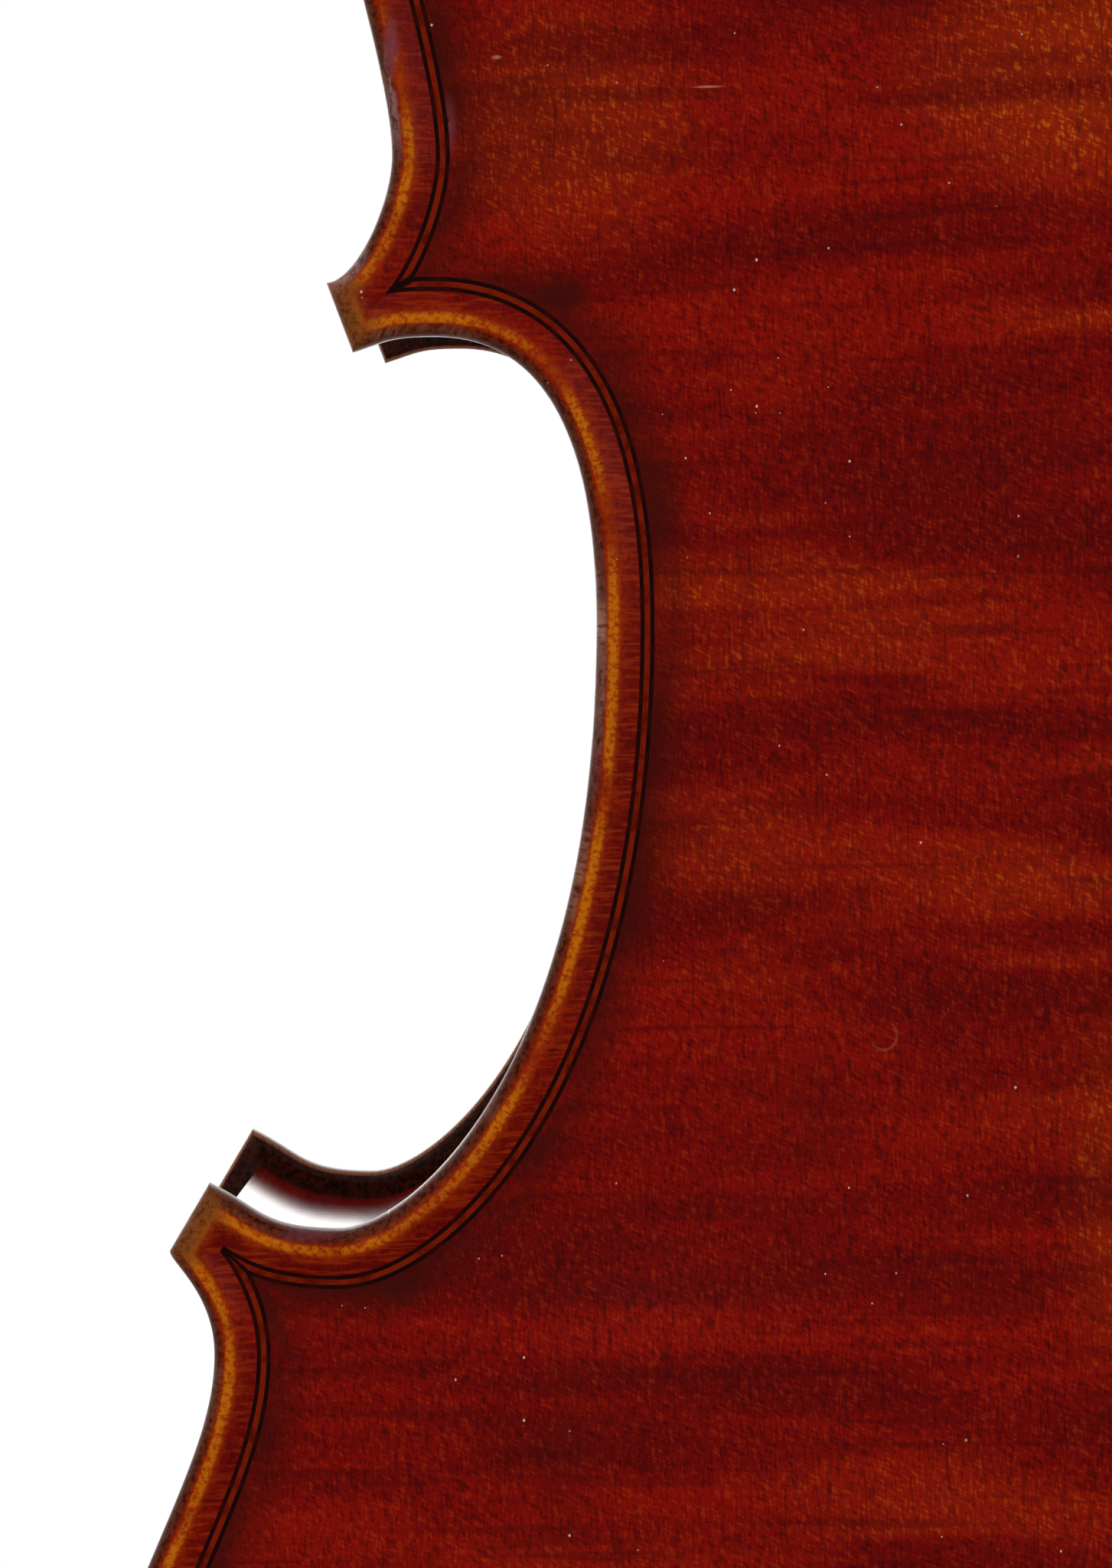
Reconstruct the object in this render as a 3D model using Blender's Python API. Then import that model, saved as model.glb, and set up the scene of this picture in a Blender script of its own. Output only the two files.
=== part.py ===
# Viola with a 406 mm body, standing upright with its back towards -Y.
# +X is the bass side, +Y the front where the strings are, and +Z runs up to the scroll.
# The origin is the flat end of the end button, and lengths are in metres.

import math

import bmesh
import bpy
import numpy as np
from mathutils import Matrix, Vector
from mathutils.geometry import delaunay_2d_cdt

MM = 0.001

# Body outline: distances across the body, and heights above its bottom edge.
BODY_LENGTH = 406.0 * MM
LOWER_BOUT_WIDTH = 241.0 * MM
LOWER_BOUT_Z = 81.0 * MM
LOWER_HOLLOW_WIDTH = 207.8 * MM  # where the lower bout draws in before its corner
LOWER_HOLLOW_Z = 148.3 * MM
LOWER_TIP_OUTER = (108.4 * MM, 158.9 * MM)
LOWER_TIP_INNER = (104.4 * MM, 165.7 * MM)
WAIST_DIP = (91.1 * MM, 161.1 * MM)  # lowest point of the waist curve beside the lower corner
WAIST_WIDTH = 130.0 * MM
WAIST_Z = 222.0 * MM
WAIST_CROWN = (81.3 * MM, 251.5 * MM)  # highest point of the waist curve beside the upper corner
UPPER_TIP_INNER = (89.5 * MM, 249.9 * MM)
UPPER_TIP_OUTER = (92.15 * MM, 256.8 * MM)
UPPER_HOLLOW_WIDTH = 171.0 * MM
UPPER_HOLLOW_Z = 269.6 * MM
UPPER_BOUT_WIDTH = 192.8 * MM
UPPER_BOUT_Z = 327.0 * MM

# Plates, edge and purfling, as heights over the glued face and distances in from the outline.
EDGE_THICKNESS = 4.4 * MM
EDGE_CREST_IN = 1.8 * MM
CHANNEL_LEVEL = 3.3 * MM
CHANNEL_IN = 6.4 * MM
BACK_ARCH = 12.6 * MM
TOP_ARCH = 14.0 * MM
BACK_THICKNESS = 3.4 * MM
TOP_THICKNESS = 2.9 * MM
PURFLING_IN = 4.5 * MM
PURFLING_WIDTH = 1.4 * MM
PURFLING_DEPTH = 1.9 * MM
GROOVE_GAP = 0.1 * MM

# Ribs, linings and blocks.
RIB_HEIGHT = 37.0 * MM
RIB_THICKNESS = 1.3 * MM
OVERHANG = 2.8 * MM
LINING_THICKNESS = 2.0 * MM
LINING_HEIGHT = 7.5 * MM
CORNER_BLOCK_REACH = 24.0 * MM
UPPER_BLOCK_WIDTH = 58.0 * MM
UPPER_BLOCK_DEPTH = 20.0 * MM
LOWER_BLOCK_WIDTH = 50.0 * MM
LOWER_BLOCK_DEPTH = 17.0 * MM
GLUE_GAP = 0.1 * MM
FIT_GAP = 0.3 * MM

# Neck, heel, pegbox and scroll.
NECK_LENGTH = 148.0 * MM
MORTISE_DEPTH = 5.0 * MM
OVERSTAND = 6.5 * MM
NECK_SLOPE = math.radians(7.2)
NECK_DEPTH_NUT = 13.0 * MM
NECK_DEPTH_BODY = 15.0 * MM
HEEL_WIDTH_FRONT = 33.0 * MM
HEEL_WIDTH_BACK = 22.0 * MM
BUTTON_HEIGHT = 14.0 * MM
PEGBOX_WALL = 5.0 * MM
SCROLL_RADIUS = 23.0 * MM
SCROLL_EYE_WIDTH = 43.0 * MM

# Fingerboard, nut, bridge and strings.
BOARD_LENGTH = 308.0 * MM
BOARD_WIDTH_NUT = 25.0 * MM
BOARD_WIDTH_END = 47.0 * MM
BOARD_EDGE = 5.0 * MM
BOARD_RADIUS = 42.0 * MM
NUT_THICKNESS = 6.0 * MM
NUT_RISE = 1.0 * MM
BODY_STOP = 220.0 * MM
BRIDGE_HEIGHT = 37.0 * MM
BRIDGE_FEET_WIDTH = 50.0 * MM
BRIDGE_FOOT_THICKNESS = 5.4 * MM
BRIDGE_TOP_THICKNESS = 1.8 * MM
STRING_SPAN_BRIDGE = 37.5 * MM
STRING_SPAN_NUT = 17.4 * MM

# Tail end.
TAILPIECE_LENGTH = 118.0 * MM
TAILPIECE_WIDTH_TOP = 46.0 * MM
TAILPIECE_WIDTH_END = 25.0 * MM
TAILPIECE_THICKNESS = 5.0 * MM
SADDLE_WIDTH = 37.0 * MM
SADDLE_DEPTH = 8.0 * MM
SADDLE_RISE = 5.0 * MM
TAILGUT_DIAMETER = 1.8 * MM
BUTTON_PROJECTION = 14.5 * MM
BUTTON_RADIUS = 7.2 * MM
BUTTON_SHANK_RADIUS = 4.0 * MM

# Pegs.
PEG_SHAFT_RADIUS = 4.0 * MM
PEG_TIP_RADIUS = 3.5 * MM
PEG_COLLAR_CLEARANCE = 10.0 * MM
PEG_HOLE_GAP = 0.17 * MM

BAR_PLACE = 20.0 * MM  # the bass bar, off the centre line
BAR_THICKNESS = 6.0 * MM
BAR_DEPTH = 12.0 * MM
POST_PLACE = 19.0 * MM
POST_RADIUS = 3.3 * MM

BODY_BASE = BUTTON_PROJECTION - OVERHANG  # height of the body's bottom edge over the origin
BODY_TOP = BODY_BASE + BODY_LENGTH
GLUE_Y = RIB_HEIGHT / 2
BRIDGE_Z = BODY_TOP - BODY_STOP

# Name, side of the pegbox its head is on, distance of its peg from the nut, string diameter.
STRINGS = (
    ("c", 1, 17.0 * MM, 1.10 * MM),
    ("g", 1, 54.0 * MM, 0.85 * MM),
    ("d", -1, 69.0 * MM, 0.75 * MM),
    ("a", -1, 32.0 * MM, 0.65 * MM),
)

COLOURS = {
    "maple": ((0.27, 0.035, 0.012), 0.32),
    "spruce": ((0.36, 0.09, 0.02), 0.38),
    "willow": ((0.62, 0.42, 0.22), 0.7),
    "ebony": ((0.018, 0.015, 0.014), 0.35),
    "bridge_maple": ((0.66, 0.42, 0.2), 0.5),
    "purfling": ((0.05, 0.02, 0.012), 0.4),
    "steel": ((0.62, 0.62, 0.6), 0.25),
    "nickel": ((0.7, 0.69, 0.66), 0.2),
    "cord": ((0.02, 0.02, 0.02), 0.5),
}
METALS = ("steel", "nickel")


def clear_scene():
    for obj in list(bpy.data.objects):
        bpy.data.objects.remove(obj, do_unlink=True)


def material(kind):
    made = bpy.data.materials.get(kind)
    if made:
        return made
    colour, roughness = COLOURS[kind]
    made = bpy.data.materials.new(kind)
    made.use_nodes = True
    shader = made.node_tree.nodes["Principled BSDF"]
    shader.inputs["Base Color"].default_value = (*colour, 1.0)
    shader.inputs["Roughness"].default_value = roughness
    shader.inputs["Metallic"].default_value = 1.0 if kind in METALS else 0.0
    return made


def place(name, bm, kind, location=(0, 0, 0), merge=1e-6):
    """Makes the object of a bmesh whose points are given from `location`."""
    bmesh.ops.remove_doubles(bm, verts=bm.verts[:], dist=merge)
    bmesh.ops.dissolve_degenerate(bm, edges=bm.edges[:], dist=1e-7)
    bmesh.ops.recalc_face_normals(bm, faces=bm.faces[:])
    mesh = bpy.data.meshes.new(name)
    bm.to_mesh(mesh)
    bm.free()
    mesh.shade_smooth()
    mesh.set_sharp_from_angle(angle=math.radians(35))
    obj = bpy.data.objects.new(name, mesh)
    obj.location = location
    obj.data.materials.append(material(kind))
    bpy.context.scene.collection.objects.link(obj)
    return obj


def helper(name, bm):
    """A cutter: the build leaves it out."""
    obj = place(name, bm, "willow")
    obj.hide_render = True
    obj.display_type = "WIRE"
    return obj


def combine(obj, other, operation):
    """Applies a Boolean with a cutter or a piece to join, and removes that piece."""
    modifier = obj.modifiers.new("shape", "BOOLEAN")
    modifier.operation = operation
    modifier.solver = "EXACT"
    modifier.object = other
    graph = bpy.context.evaluated_depsgraph_get()
    mesh = bpy.data.meshes.new_from_object(obj.evaluated_get(graph))
    obj.modifiers.clear()
    old = obj.data
    obj.data = mesh
    mesh.name = obj.name
    bpy.data.meshes.remove(old)
    bpy.data.objects.remove(other, do_unlink=True)


def loop_of(bm, points):
    verts = [bm.verts.new(p) for p in points]
    edges = [bm.edges.new(pair) for pair in zip(verts, verts[1:] + verts[:1])]
    return verts, edges


def loft(bm, rings, caps=True):
    """Skins closed rings of equal count, each extruded from the one before it."""
    verts, edges = loop_of(bm, rings[0])
    if caps:
        bm.faces.new(verts)
    for ring in rings[1:]:
        made = bmesh.ops.extrude_edge_only(bm, edges=edges)["geom"]
        fresh = {v for v in made if isinstance(v, bmesh.types.BMVert)}
        ahead = []
        for vert in verts:
            ahead.append(next(o for e in vert.link_edges if (o := e.other_vert(vert)) in fresh))
        for vert, point in zip(ahead, ring):
            vert.co = point
        verts = ahead
        edges = [bm.edges.get(pair) for pair in zip(verts, verts[1:] + verts[:1])]
    if caps:
        bm.faces.new(verts)
    return bm


def prism(bm, loops, low, high):
    """Fills (x, z) loops, the first outside and any others holes, from y = low to y = high."""
    edges = []
    for points in loops:
        edges += loop_of(bm, [(x, low, z) for x, z in points])[1]
    filled = bmesh.ops.triangle_fill(bm, edges=edges, use_beauty=True)["geom"]
    faces = [f for f in filled if isinstance(f, bmesh.types.BMFace)]
    made = bmesh.ops.extrude_face_region(bm, geom=faces)["geom"]
    moved = [v for v in made if isinstance(v, bmesh.types.BMVert)]
    bmesh.ops.translate(bm, verts=moved, vec=(0, high - low, 0))
    return bm


def block(name, low, high, kind=None):
    """A plain box between two corners: a node of `kind`, or a cutter."""
    bm = bmesh.new()
    bmesh.ops.create_cube(bm, size=1.0)
    size = Vector(high) - Vector(low)
    middle = (Vector(high) + Vector(low)) / 2
    bmesh.ops.transform(bm, matrix=Matrix.Translation(middle) @ Matrix.Diagonal((*size, 1)), verts=bm.verts)
    return place(name, bm, kind) if kind else helper(name, bm)


def rod(name, start, end, radius, sides=16, end_radius=None):
    """A round cutter between two points."""
    start, end = Vector(start), Vector(end)
    bm = bmesh.new()
    bmesh.ops.create_cone(
        bm, cap_ends=True, segments=sides, radius1=radius,
        radius2=end_radius or radius, depth=(end - start).length,
    )
    turn = (end - start).to_track_quat("Z", "Y").to_matrix().to_4x4()
    bmesh.ops.transform(bm, matrix=Matrix.Translation((start + end) / 2) @ turn, verts=bm.verts)
    return helper(name, bm)


def bezier(start, leave, arrive, end, count=40):
    t = np.linspace(0, 1, count + 1)[:, None]
    ends = (1 - t) ** 3 * np.array(start) + t**3 * np.array(end)
    return ends + 3 * (1 - t) ** 2 * t * np.array(leave) + 3 * (1 - t) * t**2 * np.array(arrive)


def chain(*curves):
    return np.vstack([curves[0], *(c[1:] for c in curves[1:])])


def half_outline():
    """The +X half of the outline: lower bout, waist and upper bout, each from low to high."""
    lower_x, hollow_x = LOWER_BOUT_WIDTH / 2, LOWER_HOLLOW_WIDTH / 2
    tip_x, tip_z = LOWER_TIP_OUTER
    hollow_z = LOWER_HOLLOW_Z
    lower = chain(
        bezier((0, 0), (0.60 * lower_x, 0), (lower_x, 0.40 * LOWER_BOUT_Z), (lower_x, LOWER_BOUT_Z)),
        bezier(
            (lower_x, LOWER_BOUT_Z), (lower_x, LOWER_BOUT_Z + 36 * MM),
            (hollow_x, hollow_z - 14.7 * MM), (hollow_x, hollow_z),
        ),
        bezier(
            (hollow_x, hollow_z), (hollow_x, hollow_z + 5 * MM),
            (tip_x - 2.6 * MM, tip_z - 3.6 * MM), (tip_x, tip_z),
        ),
    )
    tip_x, tip_z = LOWER_TIP_INNER
    dip_x, dip_z = WAIST_DIP
    crown_x, crown_z = WAIST_CROWN
    waist_x = WAIST_WIDTH / 2
    end_x, end_z = UPPER_TIP_INNER
    waist = chain(
        bezier(
            (tip_x, tip_z), (tip_x - 5.7 * MM, tip_z - 2.85 * MM), (dip_x + 7.8 * MM, dip_z), (dip_x, dip_z)
        ),
        bezier((dip_x, dip_z), (dip_x - 8 * MM, dip_z), (waist_x, WAIST_Z - 44 * MM), (waist_x, WAIST_Z)),
        bezier(
            (waist_x, WAIST_Z), (waist_x, WAIST_Z + 19.5 * MM),
            (crown_x - 11 * MM, crown_z), (crown_x, crown_z),
        ),
        bezier(
            (crown_x, crown_z), (crown_x + 3.6 * MM, crown_z),
            (end_x - 2.8 * MM, end_z + 0.9 * MM), (end_x, end_z),
        ),
    )
    tip_x, tip_z = UPPER_TIP_OUTER
    hollow_x, hollow_z = UPPER_HOLLOW_WIDTH / 2, UPPER_HOLLOW_Z
    upper_x = UPPER_BOUT_WIDTH / 2
    rest = BODY_LENGTH - UPPER_BOUT_Z
    upper = chain(
        bezier(
            (tip_x, tip_z), (tip_x - 2.7 * MM, tip_z + 2.2 * MM),
            (hollow_x, hollow_z - 5 * MM), (hollow_x, hollow_z),
        ),
        bezier(
            (hollow_x, hollow_z), (hollow_x, hollow_z + 11 * MM),
            (upper_x, UPPER_BOUT_Z - 19 * MM), (upper_x, UPPER_BOUT_Z),
        ),
        bezier(
            (upper_x, UPPER_BOUT_Z), (upper_x, UPPER_BOUT_Z + 0.62 * rest),
            (0.58 * upper_x, BODY_LENGTH), (0, BODY_LENGTH),
        ),
    )
    return lower, waist, upper


def inwards(curve, distance):
    step = np.gradient(curve, axis=0)
    normal = np.column_stack([-step[:, 1], step[:, 0]])
    return curve + distance * normal / np.linalg.norm(step, axis=1)[:, None]


def distinct(curve):
    """The curve without repeated points."""
    step = np.linalg.norm(np.diff(curve, axis=0), axis=1)
    return curve[np.concatenate([[True], step > 1e-9])]


def extended(curve, start, end):
    """The curve with straight ends added, so that neighbours can be cut where they cross."""
    first, last = curve[0] - curve[1], curve[-1] - curve[-2]
    first, last = first / np.linalg.norm(first), last / np.linalg.norm(last)
    return distinct(np.vstack([[curve[0] + start * first], curve, [curve[-1] + end * last]]))


def crossing(a, b):
    """Places, as fractional indices on both lines, where line a first crosses line b."""
    p, r = a[:-1, None], np.diff(a, axis=0)[:, None]
    q, s = b[None, :-1], np.diff(b, axis=0)[None]
    spread = r[..., 0] * s[..., 1] - r[..., 1] * s[..., 0]
    spread = np.where(np.abs(spread) < 1e-16, 1e-16, spread)
    gap = q - p
    t = (gap[..., 0] * s[..., 1] - gap[..., 1] * s[..., 0]) / spread
    u = (gap[..., 0] * r[..., 1] - gap[..., 1] * r[..., 0]) / spread
    hits = np.argwhere((t >= 0) & (t <= 1) & (u >= 0) & (u <= 1))
    if not len(hits):
        return None
    i, j = hits[0]
    return i + t[i, j], j + u[i, j]


def at(curve, index):
    i = min(int(index), len(curve) - 2)
    return curve[i] + (index - i) * (curve[i + 1] - curve[i])


def up_to(curve, index):
    return distinct(np.vstack([curve[: int(index) + 1], [at(curve, index)]]))


def onward(curve, index):
    return distinct(np.vstack([[at(curve, index)], curve[int(index) + 1 :]]))


def mitre(before, tip, after, distance):
    """Trims two curves moved inwards where they meet at a corner, and gives the corner's own end line."""
    line = inwards(tip, distance)
    normal = line[0] - tip[0] if distance > 1e-9 else np.zeros(2)
    before = extended(before, 0, 12 * MM)
    after = extended(after, 12 * MM, 0)
    met = crossing(before, after)
    if met:
        point = at(before, met[0])
        if (point - line[0]) @ normal >= 0:
            return up_to(before, met[0]), np.array([point, point]), onward(after, met[1])
    line = extended(line, 6 * MM, 6 * MM)
    low, high = crossing(before, line), crossing(after[::-1], line)
    high = (len(after) - 1 - high[0], high[1])
    before, after = up_to(before, low[0]), onward(after, high[0])
    return before, np.array([before[-1], after[0]]), after


def resampled(curve, shares):
    length = np.concatenate([[0], np.cumsum(np.linalg.norm(np.diff(curve, axis=0), axis=1))])
    want = np.array(shares) * length[-1]
    return np.column_stack([np.interp(want, length, curve[:, k]) for k in (0, 1)])


LOWER, WAIST, UPPER = half_outline()
TO_CORNER = 1 - (1 - np.linspace(0, 1, 16)) ** 1.35
BOTH_CORNERS = 0.5 - 0.5 * np.cos(np.pi * np.linspace(0, 1, 14))
FROM_CORNER = np.linspace(0, 1, 14) ** 1.35


def pieces(distance):
    """The half outline's three curves moved inwards, with the two corner ends between them."""
    lower, waist, upper = (inwards(c, distance) for c in (LOWER, WAIST, UPPER))
    lower, low_tip, waist = mitre(lower, np.array([LOWER[-1], WAIST[0]]), waist, distance)
    waist, high_tip, upper = mitre(waist, np.array([WAIST[-1], UPPER[0]]), upper, distance)
    lower[0, 0] = upper[-1, 0] = 0.0
    return lower, low_tip, waist, high_tip, upper


def half_ring(distance):
    lower, low_tip, waist, high_tip, upper = pieces(distance)
    return np.vstack(
        [
            resampled(lower, TO_CORNER),
            resampled(low_tip, [0.5]),
            resampled(waist, BOTH_CORNERS),
            resampled(high_tip, [0.5]),
            resampled(upper, FROM_CORNER),
        ]
    )


def whole(half):
    """The closed ring of a half ring and its mirror image."""
    return np.vstack([half, half[-2:0:-1] * (-1, 1)])


def channel_table():
    """Half-width of the arched field at each height, smoothed past the corners."""
    line = half_ring(CHANNEL_IN)
    low, high = line[:-1], line[1:]
    heights = np.arange(CHANNEL_IN, BODY_LENGTH - CHANNEL_IN, 1 * MM)
    widths = []
    for z in heights:
        hit = (low[:, 1] - z) * (high[:, 1] - z) <= 0
        share = (z - low[hit, 1]) / np.where(high[hit, 1] == low[hit, 1], 1, high[hit, 1] - low[hit, 1])
        widths.append((low[hit, 0] + share * (high[hit, 0] - low[hit, 0])).min())
    reach = 4
    padded = np.pad(widths, reach, mode="edge")
    eroded = np.array([padded[i : i + 2 * reach + 1].min() for i in range(len(widths))])
    bell = np.exp(-0.5 * (np.arange(-12, 13) / 5.0) ** 2)
    smooth = np.convolve(np.pad(eroded, 12, mode="edge"), bell / bell.sum(), mode="valid")
    return heights, np.maximum(smooth, 1 * MM)


CHANNEL_Z, CHANNEL_HALF = channel_table()


def smoothstep(t):
    t = np.clip(t, 0, 1)
    return t * t * (3 - 2 * t)


def arch(x, z):
    """Height of the arching over the channel, as a share of its full height."""
    along = (z - CHANNEL_Z[0]) / (CHANNEL_Z[-1] - CHANNEL_Z[0])
    from_end = np.clip(1 - np.abs(2 * along - 1), 0, 1)
    long_arch = (1 - (1 - from_end) ** 2.6) * smoothstep(from_end / 0.14)
    across = np.clip(np.abs(x) / np.interp(z, CHANNEL_Z, CHANNEL_HALF), 0, 1)
    return long_arch * (0.5 + 0.5 * np.cos(np.pi * across**1.25))


def top_surface(x, z):
    """Y of the belly's outer face over the middle field, z over the body's bottom edge."""
    return GLUE_Y + CHANNEL_LEVEL + TOP_ARCH * float(arch(x, z))


def dome(bm, edge, height):
    """Fills the plate's middle: a flat loop of points at its edge, and rows of points at height(x, z)."""
    spread = []
    for z in np.linspace(CHANNEL_Z[0] + 13 * MM, CHANNEL_Z[-1] - 12 * MM, 20):
        half = float(np.interp(z, CHANNEL_Z, CHANNEL_HALF))
        spread += [(share * half, z) for share in (-0.8, -0.55, -0.28, 0, 0.28, 0.55, 0.8)]
    flat = [Vector((x, z - BODY_BASE)) for x, _, z in edge] + [Vector(point) for point in spread]
    verts, _, faces = delaunay_2d_cdt(flat, [], [list(range(len(edge)))], 1, 1e-7)[:3]
    near = {(round(x * 1e6), round((z - BODY_BASE) * 1e6)): y for x, y, z in edge}
    made = []
    for x, z in verts:
        y = near.get((round(x * 1e6), round(z * 1e6)))
        made.append(bm.verts.new((x, height(x, z) if y is None else y, BODY_BASE + z)))
    for face in faces:
        bm.faces.new([made[i] for i in face])
    bmesh.ops.delete(bm, geom=[v for v in made if not v.link_faces], context="VERTS")


def plate(name, side, arch_height, thickness, kind):
    """A plate carved inside and out: gluing face, rounded edge, purfling groove and arched middle."""
    hollow = OVERHANG + RIB_THICKNESS + LINING_THICKNESS + 2.4 * MM

    def level(height):
        return side * (GLUE_Y + GLUE_GAP + height)

    def outside(x, z):
        return CHANNEL_LEVEL + arch_height * arch(x, z)

    def ring(distance, height):
        loop = whole(half_ring(distance))
        heights = height(loop[:, 0], loop[:, 1]) if callable(height) else np.full(len(loop), height)
        return [(float(x), float(level(h)), BODY_BASE + float(z)) for (x, z), h in zip(loop, heights)]

    groove_in, groove_out = PURFLING_IN - GROOVE_GAP, PURFLING_IN + PURFLING_WIDTH + GROOVE_GAP
    crest_to_channel = EDGE_THICKNESS - CHANNEL_LEVEL
    floor = CHANNEL_LEVEL - PURFLING_DEPTH
    rings = [
        ring(hollow, 0.0),
        ring(1.2 * MM, 0.0),
        ring(0.0, 0.32 * EDGE_THICKNESS),
        ring(0.0, 0.6 * EDGE_THICKNESS),
        ring(0.3 * EDGE_CREST_IN, 0.88 * EDGE_THICKNESS),
        ring(EDGE_CREST_IN, EDGE_THICKNESS),
        ring(groove_in, CHANNEL_LEVEL + 0.2 * crest_to_channel),
        ring(groove_in, floor),
        ring(groove_out, floor),
        ring(groove_out, outside),
    ]
    bm = loft(bmesh.new(), rings, caps=False)
    dome(bm, rings[0], lambda x, z: level(max(outside(x, z) - thickness, 0.0)))
    dome(bm, rings[-1], lambda x, z: level(outside(x, z)))
    return place(name, bm, kind)


def heel_half_width(y):
    """Half the neck root's width, which narrows from the belly to the back's button."""
    share = (y + GLUE_Y) / (RIB_HEIGHT + EDGE_THICKNESS)
    return (HEEL_WIDTH_BACK + share * (HEEL_WIDTH_FRONT - HEEL_WIDTH_BACK)) / 2


def mortise_cutter():
    joint = BODY_TOP - OVERHANG - MORTISE_DEPTH - GLUE_GAP
    above = BODY_TOP + 10 * MM
    rings = []
    for y in (-GLUE_Y, GLUE_Y + 2 * EDGE_THICKNESS):
        half = heel_half_width(y) + FIT_GAP
        rings.append([(-half, y, joint), (half, y, joint), (half, y, above), (-half, y, above)])
    return helper("cut_mortise", loft(bmesh.new(), rings))


def saddle_cutter():
    half = SADDLE_WIDTH / 2 + GLUE_GAP
    low = (-half, GLUE_Y - 1 * MM, BODY_BASE - 5 * MM)
    return block("cut_saddle", low, (half, GLUE_Y + 9 * MM, BODY_BASE + SADDLE_DEPTH + GLUE_GAP))


def back_plate():
    back = plate("back_plate", -1, BACK_ARCH, BACK_THICKNESS, "maple")
    radius = HEEL_WIDTH_BACK / 2
    centre = BODY_TOP + BUTTON_HEIGHT - radius
    angles = np.linspace(0, math.pi, 13)
    root = BODY_TOP - 4 * MM
    shape = [(-radius, root), (radius, root)]
    shape += [(radius * math.cos(a), centre + radius * math.sin(a)) for a in angles]
    glued = -(GLUE_Y + GLUE_GAP)
    solid = prism(bmesh.new(), [shape], glued - 0.95 * EDGE_THICKNESS, glued - 0.01 * MM)
    button = helper("join_button", solid)
    combine(back, button, "UNION")
    return back


# The sound holes, half of them mirrored: eye centres and a stem from the upper eye to the lower one,
# as distances from the middle line and heights over the bridge line.
HOLE_UPPER_EYE = (27.5 * MM, 31.0 * MM)
HOLE_UPPER_RADIUS = 3.8 * MM
HOLE_LOWER_EYE = (57.5 * MM, -33.0 * MM)
HOLE_LOWER_RADIUS = 5.0 * MM
HOLE_STEM_WIDTH = 6.8 * MM


def sound_hole_stem():
    """The stem's outline, a band that narrows into both eyes."""
    upper_x, upper_z = HOLE_UPPER_EYE
    lower_x, lower_z = HOLE_LOWER_EYE
    middle_x = (upper_x + lower_x) / 2
    over = (upper_x + 5.5 * MM, upper_z + 8.5 * MM)
    under = (lower_x - 6.5 * MM, lower_z - 9.0 * MM)
    line = chain(
        bezier(
            (upper_x, upper_z + 3 * MM), (upper_x, upper_z + 7 * MM), (over[0] - 3 * MM, over[1]), over, 4
        ),
        bezier(over, (over[0] + 7 * MM, over[1]), (middle_x, 12 * MM), (middle_x, 0), 6),
        bezier((middle_x, 0), (middle_x, -12 * MM), (under[0] - 8 * MM, under[1]), under, 6),
        bezier(
            under, (under[0] + 4 * MM, under[1]), (lower_x, lower_z - 8 * MM), (lower_x, lower_z - 4 * MM), 4
        ),
    )
    along = np.linspace(0, 1, len(line))
    half = HOLE_STEM_WIDTH / 2 * (0.28 + 0.72 * np.sin(np.pi * along) ** 0.8)
    left, right = inwards(line, 1.0) - line, inwards(line, -1.0) - line
    return np.vstack([line + left * half[:, None], (line + right * half[:, None])[::-1]])


def sound_hole_cutters(side):
    low, high = GLUE_Y - 2 * MM, GLUE_Y + 30 * MM
    stem = [(side * x, BRIDGE_Z + z) for x, z in sound_hole_stem()]
    cutters = [helper("cut_stem", prism(bmesh.new(), [stem], low, high))]
    for (x, z), radius in ((HOLE_UPPER_EYE, HOLE_UPPER_RADIUS), (HOLE_LOWER_EYE, HOLE_LOWER_RADIUS)):
        cutters.append(rod("cut_eye", (side * x, low, BRIDGE_Z + z), (side * x, high, BRIDGE_Z + z), radius))
    return cutters


def top_plate():
    belly = plate("top_plate", 1, TOP_ARCH, TOP_THICKNESS, "spruce")
    for side in (-1, 1):
        for cutter in sound_hole_cutters(side):
            combine(belly, cutter, "DIFFERENCE")
    combine(belly, mortise_cutter(), "DIFFERENCE")
    combine(belly, saddle_cutter(), "DIFFERENCE")
    return belly


def purfling_back():
    """One closed loop let into the groove of the back."""
    rings = []
    top, bottom = CHANNEL_LEVEL, CHANNEL_LEVEL - PURFLING_DEPTH + GROOVE_GAP
    corners = ((PURFLING_IN, bottom), (PURFLING_IN, top), (PURFLING_IN + PURFLING_WIDTH, top))
    corners += ((PURFLING_IN + PURFLING_WIDTH, bottom), (PURFLING_IN, bottom))
    for distance, height in corners:
        y = -(GLUE_Y + GLUE_GAP + height)
        rings.append([(x, y, BODY_BASE + z) for x, z in whole(half_ring(distance))])
    return place("purfling_back", loft(bmesh.new(), rings, caps=False), "purfling")


def span(curve, start, end):
    """The stretch of a curve between two lengths along it; a negative end counts from the far end."""
    length = np.concatenate([[0], np.cumsum(np.linalg.norm(np.diff(curve, axis=0), axis=1))])
    if end <= 0:
        end += length[-1]
    inside = curve[(length > start) & (length < end)]
    ends = [[np.interp(s, length, curve[:, k]) for k in (0, 1)] for s in (start, end)]
    return np.vstack([ends[0], inside, ends[1]])


def thinned(curve, spacing=15 * MM):
    """The curve with fewer points, close together only where it bends."""
    kept, last = [curve[0]], 0
    heading = np.arctan2(*np.gradient(curve, axis=0).T[::-1])
    for i in range(1, len(curve) - 1):
        turned = abs((heading[i] - heading[last] + np.pi) % (2 * np.pi) - np.pi)
        if turned > 0.1 or np.linalg.norm(curve[i] - curve[last]) > spacing:
            kept.append(curve[i])
            last = i
    return np.vstack(kept + [curve[-1]])


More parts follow.
